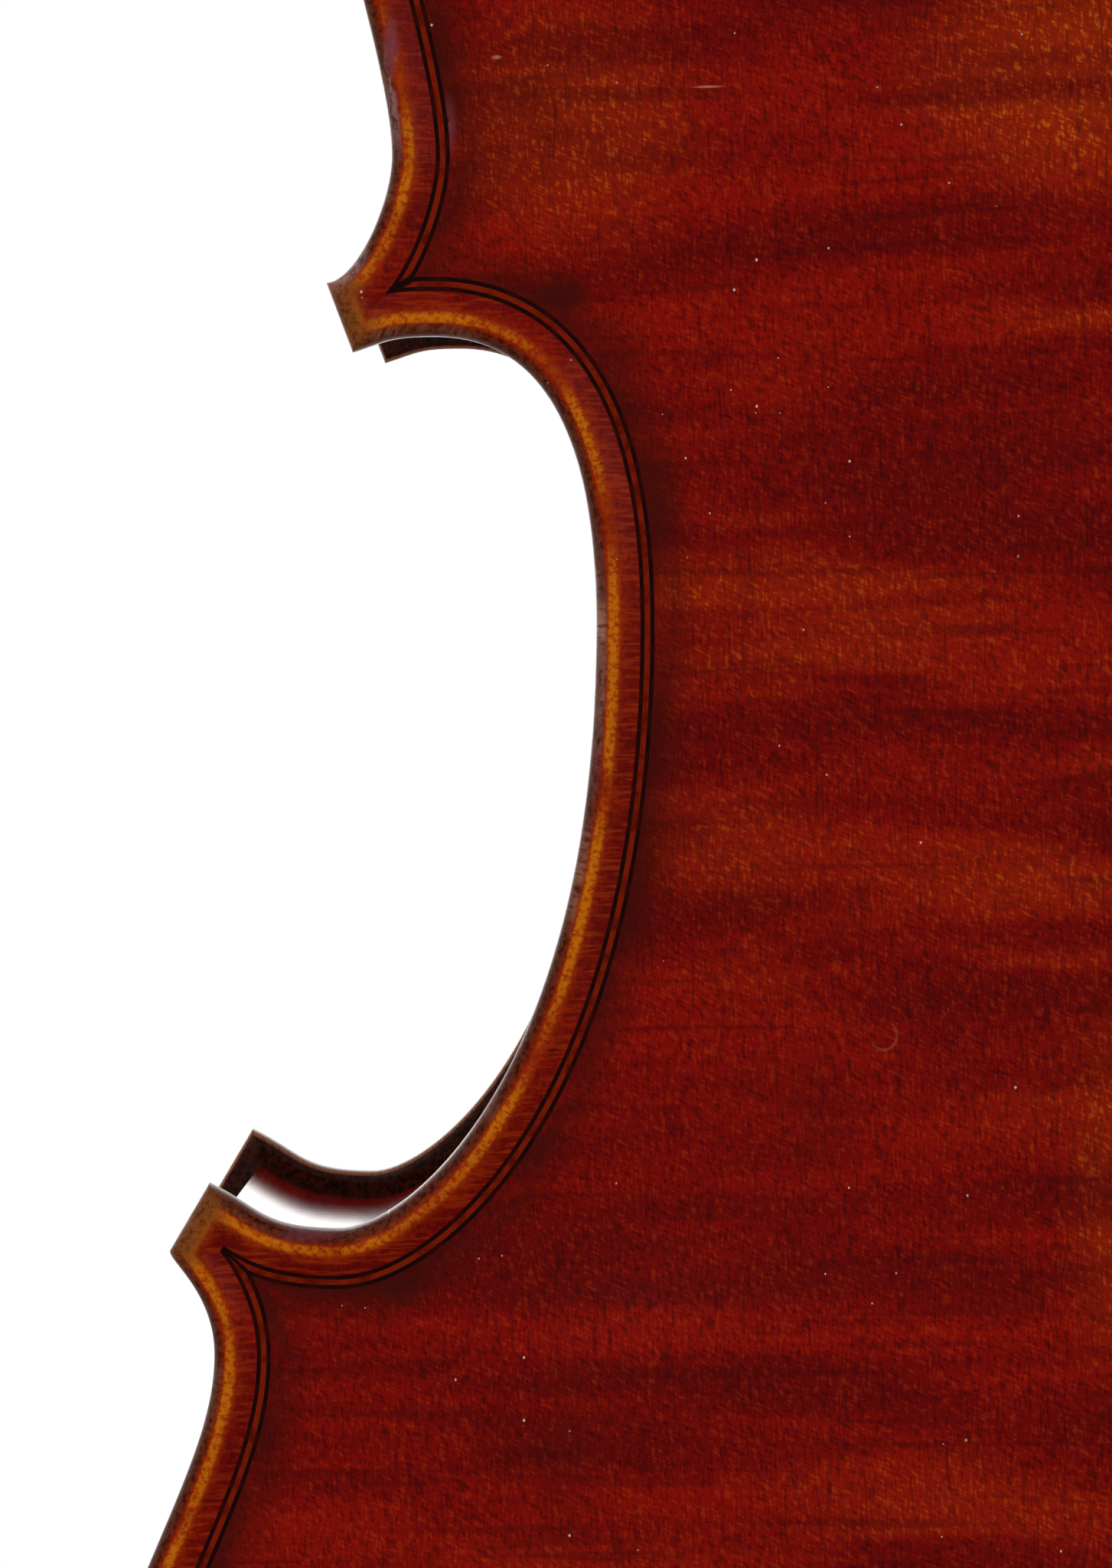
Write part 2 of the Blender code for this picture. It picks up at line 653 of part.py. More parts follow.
def strip(name, curve, thickness, low, high, side):
    """A bent willow strip from the curve towards the inside, from y = low to y = high."""
    line = thinned(curve)
    shape = [(side * x, BODY_BASE + z) for x, z in np.vstack([line, inwards(line, thickness)[::-1]])]
    return place(name, prism(bmesh.new(), [shape], low, high), "willow")


def side_name(side):
    return "bass" if side > 0 else "treble"


def ribs():
    """Six ribs: a lower, a waist and an upper one on each side. Neighbours meet at the corner's end line."""
    outer = pieces(OVERHANG)
    lower, low_tip, waist, high_tip, upper = outer
    inner = pieces(OVERHANG + RIB_THICKNESS)
    inner_lower, inner_waist, inner_upper = inner[0], inner[2], inner[4]
    seam = GLUE_GAP / 2
    mortise = mortise_cutter()
    shank = rod("cut_shank", (0, 0, 0), (0, 0, BODY_BASE + 10 * MM), BUTTON_SHANK_RADIUS + GLUE_GAP)

    def nudged(points, along, back):
        """The middle of a corner's end, held back from the seam on one side."""
        middle = points.mean(axis=0)
        way = along - middle
        return middle + back * way / np.linalg.norm(way)

    made = []
    for side in (-1, 1):
        name = side_name(side)
        shapes = {
            "rib_lower_": [
                span(thinned(lower), seam, 0),
                [nudged(low_tip, lower[-1], FIT_GAP / 2)],
                span(thinned(inner_lower), seam, -FIT_GAP)[::-1],
            ],
            "rib_waist_": [
                [nudged(low_tip, waist[0], FIT_GAP / 2)],
                thinned(waist),
                [nudged(high_tip, waist[-1], FIT_GAP / 2)],
                span(thinned(inner_waist), FIT_GAP, -FIT_GAP)[::-1],
            ],
            "rib_upper_": [
                [nudged(high_tip, upper[0], FIT_GAP / 2)],
                span(thinned(upper), 0, -seam),
                span(thinned(inner_upper), FIT_GAP, -seam)[::-1],
            ],
        }
        for kind, parts in shapes.items():
            loop = [(side * x, BODY_BASE + z) for x, z in np.vstack(parts)]
            rib = place(kind + name, prism(bmesh.new(), [loop], -GLUE_Y, GLUE_Y), "maple")
            made.append(rib)
        combine(made[-3], copy_of(shank), "DIFFERENCE")
        combine(made[-1], copy_of(mortise), "DIFFERENCE")
    for cutter in (mortise, shank):
        bpy.data.objects.remove(cutter, do_unlink=True)


def copy_of(obj):
    made = obj.copy()
    made.data = obj.data.copy()
    bpy.context.scene.collection.objects.link(made)
    return made


def linings():
    """Twelve willow strips inside the ribs, front and back, between the blocks."""
    lower, _, waist, _, upper = pieces(OVERHANG + RIB_THICKNESS + FIT_GAP)
    reach, clear = CORNER_BLOCK_REACH + FIT_GAP, 3 * FIT_GAP
    runs = {
        "lower": span(lower, LOWER_BLOCK_WIDTH / 2 + clear, -reach),
        "waist": span(waist, reach, -reach),
        "upper": span(upper, reach, -UPPER_BLOCK_WIDTH / 2 - clear),
    }
    for side in (-1, 1):
        for bout, run in runs.items():
            for face, low in (("back", -GLUE_Y), ("front", GLUE_Y - LINING_HEIGHT)):
                name = f"lining_{bout}_{side_name(side)}_{face}"
                strip(name, run, LINING_THICKNESS, low, low + LINING_HEIGHT, side)


def corner_blocks():
    inset = OVERHANG + RIB_THICKNESS + FIT_GAP
    lower, _, waist, _, upper = pieces(inset)
    reach = CORNER_BLOCK_REACH - FIT_GAP
    corners = {
        "lower": (span(lower, -1, 0), span(waist, 0, reach), -1),
        "upper": (span(waist, -1, 0), span(upper, 0, reach), 1),
    }
    for name, (before, after, _) in corners.items():
        length = np.linalg.norm(np.diff(before, axis=0), axis=1).sum()
        before = span(before, length - reach, 0)
        inner = (before[0] + after[-1]) / 2 - np.array([3 * MM, 0])
        outline = np.vstack([thinned(before), thinned(after)[1:], [inner]])
        for side in (-1, 1):
            loop = [(side * x, BODY_BASE + z) for x, z in outline]
            bm = prism(bmesh.new(), [loop], -GLUE_Y, GLUE_Y)
            place(f"corner_block_{name}_{side_name(side)}", bm, "willow")


def end_blocks():
    inset = OVERHANG + RIB_THICKNESS + FIT_GAP
    lower, _, _, _, upper = pieces(inset)
    half = LOWER_BLOCK_WIDTH / 2
    low = thinned(span(lower, 0, half))
    inside = inset + LOWER_BLOCK_DEPTH
    loop = np.vstack([low, [[low[-1, 0], inside], [-low[-1, 0], inside]], (low[::-1] * (-1, 1))[:-1]])
    shape = [(x, BODY_BASE + z) for x, z in loop]
    lower_block = place("lower_block", prism(bmesh.new(), [shape], -GLUE_Y, GLUE_Y), "willow")
    above = BODY_BASE + inside + 5 * MM
    shank = rod("cut_shank", (0, 0, 0), (0, 0, above), BUTTON_SHANK_RADIUS + GLUE_GAP)
    combine(lower_block, shank, "DIFFERENCE")
    half = UPPER_BLOCK_WIDTH / 2
    high = thinned(span(upper[::-1], 0, half))
    inside = BODY_LENGTH - inset - UPPER_BLOCK_DEPTH
    loop = np.vstack([high, [[high[-1, 0], inside], [-high[-1, 0], inside]], (high[::-1] * (-1, 1))[:-1]])
    shape = [(x, BODY_BASE + z) for x, z in loop]
    upper_block = place("upper_block", prism(bmesh.new(), [shape], -GLUE_Y, GLUE_Y), "willow")
    combine(upper_block, mortise_cutter(), "DIFFERENCE")


def bass_bar():
    """A bar glued under the belly on the bass side, following its arching."""
    x, thickness, depth = BAR_PLACE, BAR_THICKNESS, BAR_DEPTH
    low, high = 0.13 * BODY_LENGTH, 0.87 * BODY_LENGTH
    rings = []
    for share in np.linspace(0, 1, 13):
        z = low + share * (high - low)
        ceiling = top_surface(x - thickness / 2, z) - TOP_THICKNESS
        ceiling = min(ceiling, top_surface(x + thickness / 2, z) - TOP_THICKNESS) - 2 * FIT_GAP
        floor = ceiling - 0.25 * depth - 0.75 * depth * math.sin(math.pi * share) ** 0.7
        corners = ((x - thickness / 2, floor), (x + thickness / 2, floor), (x + thickness / 2, ceiling))
        corners += ((x - thickness / 2, ceiling),)
        rings.append([(cx, y, BODY_BASE + z) for cx, y in corners])
    return place("bass_bar", loft(bmesh.new(), rings), "spruce")


def sound_post():
    """A round spruce dowel between the plates, just behind the bridge's treble foot."""
    radius, x, z = POST_RADIUS, -POST_PLACE, BRIDGE_Z - BODY_BASE - 7 * MM
    front = min(top_surface(x - radius, z), top_surface(x + radius, z)) - TOP_THICKNESS - FIT_GAP
    back_level = CHANNEL_LEVEL + BACK_ARCH * float(arch(abs(x) + radius, z)) - BACK_THICKNESS
    back = -(GLUE_Y + back_level) + FIT_GAP
    bm = bmesh.new()
    bmesh.ops.create_cone(bm, cap_ends=True, segments=12, radius1=radius, radius2=radius, depth=front - back)
    bmesh.ops.rotate(bm, matrix=Matrix.Rotation(math.pi / 2, 3, "X"), verts=bm.verts)
    return place("sound_post", bm, "spruce", location=(x, (front + back) / 2, BODY_BASE + z))


# The neck's own directions: `up` runs along the fingerboard's glued face to the scroll, `out` away from it.
NECK_UP = Vector((0, -math.sin(NECK_SLOPE), math.cos(NECK_SLOPE)))
NECK_OUT = Vector((0, math.cos(NECK_SLOPE), math.sin(NECK_SLOPE)))
NECK_ROOT = Vector((0, GLUE_Y + EDGE_THICKNESS + OVERSTAND, BODY_TOP))
NUT_PLACE = NECK_ROOT + NECK_UP * NECK_LENGTH


def on_neck(x, up, out):
    """A point by its distance from the nut along the neck, and out from the fingerboard's glued face."""
    return NUT_PLACE + NECK_UP * up + NECK_OUT * out + Vector((x, 0, 0))


def half_loop(inner, outer, half_width, count=12, squareness=2.4):
    """A D-shaped ring: flat across `inner`, rounded out to `outer`."""
    points = []
    for k in range(count + 1):
        angle = math.pi * k / count
        along = abs(math.sin(angle)) ** (2 / squareness)
        across = math.copysign(abs(math.cos(angle)) ** (2 / squareness), math.cos(angle))
        points.append(inner.lerp(outer, along) + Vector((half_width * across, 0, 0)))
    return points


def neck_body():
    """Handle and heel: D-shaped rings that swing from square across the neck to flat on the button."""
    rings = []
    length = NECK_LENGTH
    board_end = 0.5 * BOARD_WIDTH_NUT
    root_width = board_end + (BOARD_WIDTH_END - BOARD_WIDTH_NUT) / 2 * length / BOARD_LENGTH
    for share in (-0.02, 0.1, 0.35, 0.6, 0.8):
        depth = NECK_DEPTH_NUT + (NECK_DEPTH_BODY - NECK_DEPTH_NUT) * share
        width = board_end + (root_width - board_end) * share - 0.2 * MM
        rings.append(half_loop(on_neck(0, -share * length, 0), on_neck(0, -share * length, -depth), width))
    joint_z = BODY_TOP - OVERHANG - MORTISE_DEPTH
    heel_low = Vector((0, -GLUE_Y, BODY_TOP + BUTTON_HEIGHT))
    handle_end = on_neck(0, -0.8 * length, -NECK_DEPTH_BODY)
    into_body = (OVERHANG + MORTISE_DEPTH) / math.cos(NECK_SLOPE)
    bend = (
        (0.18, on_neck(0, 8 * MM - length, 0), root_width - 0.2 * MM),
        (0.42, on_neck(0, -into_body - length, 0), heel_half_width(GLUE_Y + EDGE_THICKNESS) + FIT_GAP),
        (
            0.62, Vector((0, GLUE_Y + EDGE_THICKNESS, joint_z)),
            heel_half_width(GLUE_Y + EDGE_THICKNESS) - GLUE_GAP,
        ),
        (0.8, Vector((0, 0.2 * GLUE_Y, joint_z)), heel_half_width(0.2 * GLUE_Y) - GLUE_GAP),
        (0.92, Vector((0, -0.55 * GLUE_Y, joint_z)), heel_half_width(-0.55 * GLUE_Y) - GLUE_GAP),
        (1.0, Vector((0, -GLUE_Y, joint_z)), heel_half_width(-GLUE_Y)),
    )
    way = bezier(handle_end, handle_end - NECK_UP * 17 * MM, heel_low + Vector((0, 16 * MM, 0)), heel_low, 50)
    for share, inner, half in bend:
        rings.append(half_loop(inner, Vector(at(way, share * (len(way) - 1))), half))
    return place("neck", loft(bmesh.new(), rings), "maple")


# Pegbox side view as (up, out) from the nut: the cheeks' front line and the back line.
PEGBOX_FRONT = ((0, 1.5), (14, 0.0), (34, -4.5), (56, -10.5), (74, -14.5), (84, -17.0))
PEGBOX_BACK = ((0, -19.0), (14, -24.5), (34, -29.5), (56, -33.5), (74, -36.0), (84, -37.5))
PEGBOX_HALF = ((0, 13.2), (14, 13.0), (34, 12.3), (56, 11.3), (74, 10.4), (84, 9.8))
PEGBOX_STATIONS = (16.0 * MM, 34.0 * MM, 56.0 * MM, 74.0 * MM, 84.0 * MM)
SCROLL_CENTRE = (95.0 * MM, -17.0 * MM)


def pegbox_at(table, up):
    stations = np.array(table) * MM
    return float(np.interp(up, stations[:, 0], stations[:, 1]))


def pegbox_shell():
    """The pegbox outside: a block with rounded back corners that narrows towards the scroll."""
    rings = []
    seat = NUT_THICKNESS + FIT_GAP
    for up in (-6 * MM, 0, seat, seat + 0.5 * MM, *PEGBOX_STATIONS):
        front, back = pegbox_at(PEGBOX_FRONT, up), pegbox_at(PEGBOX_BACK, up)
        if up <= seat:
            front = -0.3 * MM
        if up < 0:
            back = -NECK_DEPTH_NUT
        half, round_off = pegbox_at(PEGBOX_HALF, up), 4 * MM
        corners = ((half, front), (half, back + round_off), (half - 0.3 * round_off, back + 0.3 * round_off))
        corners += ((half - round_off, back), (round_off - half, back))
        corners += ((0.3 * round_off - half, back + 0.3 * round_off),)
        corners += ((-half, back + round_off), (-half, front))
        rings.append([on_neck(x, up, out) for x, out in corners])
    return helper("join_pegbox", loft(bmesh.new(), rings))


def pegbox_cutter():
    """The trough that holds the pegs' shafts, open at the front."""
    rings = []
    for up in (NUT_THICKNESS + 1.2 * MM, 34 * MM, 56 * MM, 77 * MM):
        half = pegbox_at(PEGBOX_HALF, up) - PEGBOX_WALL
        floor = pegbox_at(PEGBOX_BACK, up) + 1.15 * PEGBOX_WALL
        corners = ((half, 12 * MM), (half, floor), (-half, floor), (-half, 12 * MM))
        rings.append([on_neck(x, up, out) for x, out in corners])
    return helper("cut_pegbox", loft(bmesh.new(), rings))


def volute_radius(turn):
    """Distance of the scroll's outer wall from its centre, `turn` in radians from the back of the scroll."""
    return (SCROLL_RADIUS - 2 * MM) * math.exp(-0.141 * turn) + 2 * MM


def volute_half_width(turn):
    """The scroll stands further out to each side as it winds in to the eye."""
    turns = np.radians([-90, 0, 90, 170, 270, 360, 450, 540, 630, 720, 810])
    widths = np.array([9.4, 9.0, 8.0, 7.4, 8.2, 10.2, 12.6, 15.0, 17.4, 19.6, 21.5]) / 21.5
    return float(np.interp(turn, turns, widths)) * SCROLL_EYE_WIDTH / 2


def scroll_point(x, turn, radius):
    up, out = SCROLL_CENTRE
    return on_neck(x, up + radius * math.sin(turn), out - radius * math.cos(turn))


def volute():
    """The scroll as a stepped spiral: every turn's wall stands out beyond the last one's face."""
    steps, start = 16, -2
    last = int(2.25 * steps)
    bm = bmesh.new()

    def angle(i):
        return 2 * math.pi * i / steps

    def outer(side, i):
        return scroll_point(side * volute_half_width(angle(i)), angle(i), volute_radius(angle(i)))

    def foot(side, i):
        """Where the wall of turn i stands on the face of the turn outside it."""
        return scroll_point(side * volute_half_width(angle(i - steps)), angle(i), volute_radius(angle(i)))

    def middle(i):
        return scroll_point(0, angle(i), volute_radius(angle(i)))

    def face(points):
        bm.faces.new([bm.verts.new(p) for p in points])

    for side in (-1, 1):
        eye = scroll_point(side * volute_half_width(angle(last)), 0, 0)
        for i in range(start, last):
            j = i + 1
            if j < start + steps:
                face([middle(i), outer(side, i), outer(side, j), middle(j)])
            elif j == start + steps:
                face([middle(i), outer(side, i), outer(side, j), foot(side, j), middle(j)])
            else:
                face([foot(side, i), outer(side, i), outer(side, j), foot(side, j)])
            if j + steps <= last:
                face([outer(side, i), foot(side, i + steps), foot(side, j + steps), outer(side, j)])
            else:
                face([outer(side, i), eye, outer(side, j)])
        face([outer(side, last), eye, outer(side, last - steps), foot(side, last)])
    front, back = (start + steps, start)
    rim = [middle(back), outer(1, back), foot(1, front), middle(front), foot(-1, front), outer(-1, back)]
    face(rim)
    bmesh.ops.remove_doubles(bm, verts=bm.verts[:], dist=0.002 * MM)
    bmesh.ops.triangulate(bm, faces=[f for f in bm.faces if len(f.verts) > 4])
    return helper("join_volute", bm)


def peg_place(up):
    """The middle of a peg's shaft: a little behind half way between the pegbox's front and back."""
    front, back = pegbox_at(PEGBOX_FRONT, up), pegbox_at(PEGBOX_BACK, up)
    return on_neck(0, up, 0.56 * front + 0.44 * back)


def neck():
    body = neck_body()
    combine(body, pegbox_shell(), "UNION")
    combine(body, volute(), "UNION")
    combine(body, pegbox_cutter(), "DIFFERENCE")
    for _, side, up, _ in STRINGS:
        rings = []
        for along in (-25 * MM, 25 * MM):
            radius = peg_radius(along) + PEG_HOLE_GAP
            rings.append([peg_place(up) + p for p in peg_ring(side, along, radius, radius)])
        combine(body, helper("cut_peg", loft(bmesh.new(), rings)), "DIFFERENCE")
    return body


def peg_radius(x):
    """The tapered shaft's radius at distance x from the pegbox's middle, towards the head."""
    share = (x + 14 * MM) / (38 * MM)
    return PEG_TIP_RADIUS + (PEG_SHAFT_RADIUS - PEG_TIP_RADIUS) * share


def peg_ring(side, along, wide, thin):
    """Twelve points round a peg's axis, at a distance from the pegbox's middle towards the head."""
    angles = [2 * math.pi * k / 12 for k in range(12)]
    return [Vector((side * along, thin * math.cos(a), wide * math.sin(a))) for a in angles]


def pegs():
    """Four pegs, each with its origin on the axis it turns about, and the string wound on it."""
    for name, side, up, thickness in STRINGS:
        half = pegbox_at(PEGBOX_HALF, up)
        centre = peg_place(up)
        tip, collar = -half - 0.5 * MM, half + PEG_COLLAR_CLEARANCE
        head = (
            (0, 5.4, 5.4), (1.2, 6.7, 6.7), (3.2, 6.7, 6.7), (4.6, 4.8, 4.8),
            (6.2, 4.3, 4.3), (9.0, 7.6, 4.6), (13.5, 11.6, 4.9), (19.5, 12.8, 4.3),
            (25.0, 10.6, 4.0), (28.5, 5.6, 3.4), (29.6, 2.4, 2.4), (31.5, 1.8, 1.8),
        )
        stations = [(tip, peg_radius(tip), peg_radius(tip)), (collar - 0.2 * MM, *[peg_radius(collar)] * 2)]
        stations += [(collar + along * MM, wide * MM, thin * MM) for along, wide, thin in head]
        rings = [peg_ring(side, along, wide, thin) for along, wide, thin in stations]
        place(f"peg_{name}", loft(bmesh.new(), rings), "ebony", location=centre)
        inner = peg_radius(half) + 0.08 * MM
        outer, length = inner + thickness, 5 * thickness
        start = winding_start(up, thickness)
        profile = ((0, inner), (0, outer), (length, outer), (length, inner), (0, inner))
        rings = [peg_ring(side, start + along, radius, radius) for along, radius in profile]
        place(f"string_{name}_winding", loft(bmesh.new(), rings, caps=False), "steel", location=centre)


def winding_start(up, thickness):
    """Where the winding begins on the shaft, towards the head, clear of the pegbox's inner wall."""
    return pegbox_at(PEGBOX_HALF, up) - PEGBOX_WALL - 5 * thickness - 0.8 * MM


def board_half_width(up):
    """Half the fingerboard's width at a distance from the nut, negative towards the body."""
    return 0.5 * (BOARD_WIDTH_NUT + (BOARD_WIDTH_END - BOARD_WIDTH_NUT) * -up / BOARD_LENGTH)


def board_top(x, up):
    """Height of the playing surface over the glued face: an arc across, level with the sides at the edges."""
    half = board_half_width(up)
    return BOARD_EDGE + math.sqrt(BOARD_RADIUS**2 - x * x) - math.sqrt(BOARD_RADIUS**2 - half * half)


def fingerboard():
    rings = []
    for up in (-NUT_THICKNESS / 6, -0.5 * BOARD_LENGTH, -BOARD_LENGTH):
        half = board_half_width(up)
        ring = [on_neck(x, up, board_top(x, up)) for x in np.linspace(half, -half, 13)]
        ring += [on_neck(-half, up, GLUE_GAP)]
        beyond = up < -NECK_LENGTH - 15 * MM
        if beyond:
            hollow = 0.55 * half
            under = GLUE_GAP + 0.4 * BOARD_EDGE
            ring += [on_neck(-hollow, up, under), on_neck(hollow, up, under)]
        else:
            ring += [on_neck(-0.55 * half, up, GLUE_GAP), on_neck(0.55 * half, up, GLUE_GAP)]
        ring += [on_neck(half, up, GLUE_GAP)]
        rings.append(ring)
    return place("fingerboard", loft(bmesh.new(), rings), "ebony")


def nut_top(x):
    half = BOARD_WIDTH_NUT / 2
    rise = math.sqrt(BOARD_RADIUS**2 - x * x) - math.sqrt(BOARD_RADIUS**2 - half * half)
    return BOARD_EDGE + NUT_RISE + rise


def nut():
    half = BOARD_WIDTH_NUT / 2
    rings = []
    for share, drop in ((0, 0.3 * MM), (0.3, 0), (0.6, 2.0 * MM), (1, 5.4 * MM)):
        up = share * NUT_THICKNESS
        ring = [on_neck(x, up, nut_top(x) - drop) for x in np.linspace(half, -half, 9)]
        rings.append(ring + [on_neck(-half, up, GLUE_GAP), on_neck(half, up, GLUE_GAP)])
    return place("nut", loft(bmesh.new(), rings), "ebony")


BRIDGE_FOOT_Y = top_surface(0, BRIDGE_Z - BODY_BASE)
BRIDGE_TOP_Y = BRIDGE_FOOT_Y + BRIDGE_HEIGHT
BRIDGE_RADIUS = 42.0 * MM


def bridge_crown(x):
    """Y of the bridge's top edge at x."""
    return BRIDGE_TOP_Y + math.sqrt(BRIDGE_RADIUS**2 - x * x) - BRIDGE_RADIUS


def rounded(points, count=4):
    """A closed smooth loop through the points."""
    points = np.array(points)
    before, after, later = (np.roll(points, by, axis=0) for by in (1, -1, -2))
    parts = []
    for k in range(len(points)):
        leave = points[k] + (after[k] - before[k]) / 6
        arrive = after[k] - (later[k] - points[k]) / 6
        parts.append(bezier(points[k], leave, arrive, after[k], count)[:-1])
    return np.vstack(parts)


def bridge():
    """Feet, waist, arms, heart and side windows, thinner towards the strings."""
    half = BRIDGE_FEET_WIDTH / 2
    base, crown = BRIDGE_FOOT_Y, BRIDGE_HEIGHT

    def level(share):
        return base + share * crown

    foot = [(x, top_surface(x, BRIDGE_Z - BODY_BASE) + FIT_GAP) for x in (0.30 * half, 0.65 * half, half)]
    edge = [
        *foot,
        (half, foot[2][1] + 2.2 * MM), (0.84 * half, foot[2][1] + 4.4 * MM), (0.80 * half, level(0.22)),
        (0.88 * half, level(0.30)), (0.96 * half, level(0.42)), (0.90 * half, level(0.52)),
        (0.98 * half, level(0.60)), (0.93 * half, level(0.72)),
    ]
    arc = [(x, bridge_crown(x)) for x in np.linspace(0.86 * half, 0, 7)[:-1]]
    right = edge + arc
    bottom = [(0.2 * half, level(0.10)), (0, level(0.155))]
    outline = bottom[1:] + bottom[:1] + right
    outline = np.array(outline + [(-x, y) for x, y in reversed(outline) if x > 0])
    top_middle = np.array([[0, bridge_crown(0)]])
    split = len(bottom) + len(right)
    outline = np.vstack([outline[:split], top_middle, outline[split:]])
    heart = ((0, 0.50), (0.13, 0.60), (0.10, 0.68), (0, 0.645), (-0.10, 0.68), (-0.13, 0.60))
    heart = rounded([(x * half, level(share)) for x, share in heart], 2)
    window = ((0.44, 0.40), (0.60, 0.36), (0.72, 0.46), (0.62, 0.58), (0.46, 0.56), (0.40, 0.48))
    window = rounded([(x * half, level(share)) for x, share in window], 2)
    loops = [outline, heart, window, window * (-1, 1)]
    bm = prism(bmesh.new(), [[(x, y) for x, y in loop] for loop in loops], 0, 1)
    thick, thin = BRIDGE_FOOT_THICKNESS, BRIDGE_TOP_THICKNESS
    for vert in bm.verts:
        x, back, y = vert.co
        share = (y - base) / crown
        depth = thick + (thin - thick) * min(max(share, 0), 1) ** 0.8
        vert.co = (x, y, BRIDGE_Z - thick / 2 + (back * depth))
    return place("bridge", bm, "bridge_maple")


SADDLE_TOP = GLUE_Y + EDGE_THICKNESS + SADDLE_RISE
TAIL_LOW = Vector((0, SADDLE_TOP + 2.6 * MM, BODY_BASE + SADDLE_DEPTH + 3.0 * MM))
TAIL_AIM = Vector((0, BRIDGE_TOP_Y - 0.5 * MM, BRIDGE_Z))
TAIL_UP = (TAIL_AIM - TAIL_LOW).normalized()
TAIL_OUT = Vector((0, TAIL_UP.z, -TAIL_UP.y))


def on_tailpiece(x, up, out):
    return TAIL_LOW + TAIL_UP * up + TAIL_OUT * out + Vector((x, 0, 0))


def tailpiece_half_width(share):
    low, high = TAILPIECE_WIDTH_END / 2, TAILPIECE_WIDTH_TOP / 2
    return low + (high - low) * share**0.85


def tailpiece_rise(x, share):
    """Height of the tailpiece's arched face over its own plane."""
    half = tailpiece_half_width(share)
    return -(0.16 + 0.06 * share) * half * (abs(x) / half) ** 2


TAIL_HOLE_UP = TAILPIECE_LENGTH - 14 * MM  # where the strings and the tuner go through


def tailpiece():
    rings = []
    for share, pinch in ((0, 0.72), (0.025, 0.94), (0.3, 1), (0.6, 1), (0.85, 1), (0.97, 1), (1.0, 0.9)):
        half = tailpiece_half_width(share) * pinch
        xs = np.linspace(half, -half, 9)
        up = share * TAILPIECE_LENGTH
        ring = [on_tailpiece(x, up, tailpiece_rise(x, share)) for x in xs]
        thickness = TAILPIECE_THICKNESS * (0.75 + 0.25 * share)
        ring += [on_tailpiece(x, up, tailpiece_rise(x, share) - thickness) for x in xs[::-1]]
        rings.append(ring)
    body = place("tailpiece", loft(bmesh.new(), rings), "ebony")
    for index in range(4):
        x = tail_string_x(index)
        low, high = (on_tailpiece(x, TAIL_HOLE_UP, out) for out in (-12 * MM, 6 * MM))
        hole = rod("cut_hole", low, high, 1.7 * MM, 10)
        combine(body, hole, "DIFFERENCE")
    for side in (-1, 1):
        start = on_tailpiece(side * 4.5 * MM, -4 * MM, -2.2 * MM)
        end = on_tailpiece(side * 4.5 * MM, 12 * MM, -2.2 * MM)
        combine(body, rod("cut_gut", start, end, TAILGUT_DIAMETER / 2 + FIT_GAP, 10), "DIFFERENCE")
    return body


def tail_string_x(index):
    return STRING_SPAN_BRIDGE * 0.86 * (0.5 - index / 3)


def bridge_string_x(index):
    return STRING_SPAN_BRIDGE * (0.5 - index / 3)


def nut_string_x(index):
    return STRING_SPAN_NUT * (0.5 - index / 3)


def tube(name, points, diameter, kind, resolution=2):
    curve = bpy.data.curves.new(name, "CURVE")
    curve.dimensions = "3D"
    curve.bevel_depth = diameter / 2
    curve.bevel_resolution = resolution
    curve.use_fill_caps = True
    spline = curve.splines.new("POLY")
    spline.points.add(len(points) - 1)
    for place_of, point in zip(spline.points, points):
        place_of.co = (*point, 1)
    obj = bpy.data.objects.new(name, curve)
    curve.materials.append(material(kind))
    bpy.context.scene.collection.objects.link(obj)
    return obj


def strings():
    """Four strings, from the tailpiece over the bridge and the nut to the winding on each peg."""
    for index, (name, side, up, thickness) in enumerate(STRINGS):
        radius = thickness / 2
        share = 1 - 3 * MM / TAILPIECE_LENGTH
        x = tail_string_x(index)
        in_hole = on_tailpiece(x, TAIL_HOLE_UP, -2.5 * MM)
        over_hole = on_tailpiece(x, TAIL_HOLE_UP, tailpiece_rise(x, share) + radius + 0.5 * MM)
        rim = on_tailpiece(x, TAILPIECE_LENGTH - 3 * MM, tailpiece_rise(x, share) + radius + 0.6 * MM)
        start = [in_hole, over_hole, rim]
        if name == "a":
            start = [on_tailpiece(x, TUNER_PIVOT_UP + LEVER_HOOK + TUNER_CLEARANCE, TUNER_HOOK_OUT)]
        across = bridge_string_x(index)
        over = Vector((across, bridge_crown(across) + radius + 0.25 * MM, BRIDGE_Z - 1.8 * MM))
        across = nut_string_x(index)
        rest = on_neck(across, 0.3 * NUT_THICKNESS, nut_top(across) + radius + 0.25 * MM)
        centre = peg_place(up)
        outer = peg_radius(pegbox_at(PEGBOX_HALF, up)) + 0.08 * MM + thickness
        along = side * (winding_start(up, thickness) + 0.5 * thickness)
        front = centre + Vector((along, 0, 0)) + NECK_OUT * (outer + radius + 0.15 * MM) - NECK_UP * 1.0 * MM
        tube(f"string_{name}", [*start, over, rest, front], thickness, "steel")


# The A string's fine tuner, on the tailpiece's own directions.
TUNER_PIVOT_UP = TAILPIECE_LENGTH + 1.0 * MM
LEVER_HOOK = 5.4 * MM  # how far the lever's hook reaches past its pivot
LEVER_HALF_WIDTH = 1.9 * MM
LEVER_LOW = -TAILPIECE_THICKNESS - 6.4 * MM  # height of the pivot
TUNER_HOOK_OUT = LEVER_LOW + 10.3 * MM
TUNER_CLEARANCE = 0.8 * MM
COLLAR_RADIUS = 3.6 * MM
COLLAR_HEIGHT = 5.0 * MM
TUNER_SHANK_RADIUS = 1.2 * MM
TUNER_HEAD_RADIUS = 4.2 * MM
TUNER_HEAD_HEIGHT = 4.8 * MM


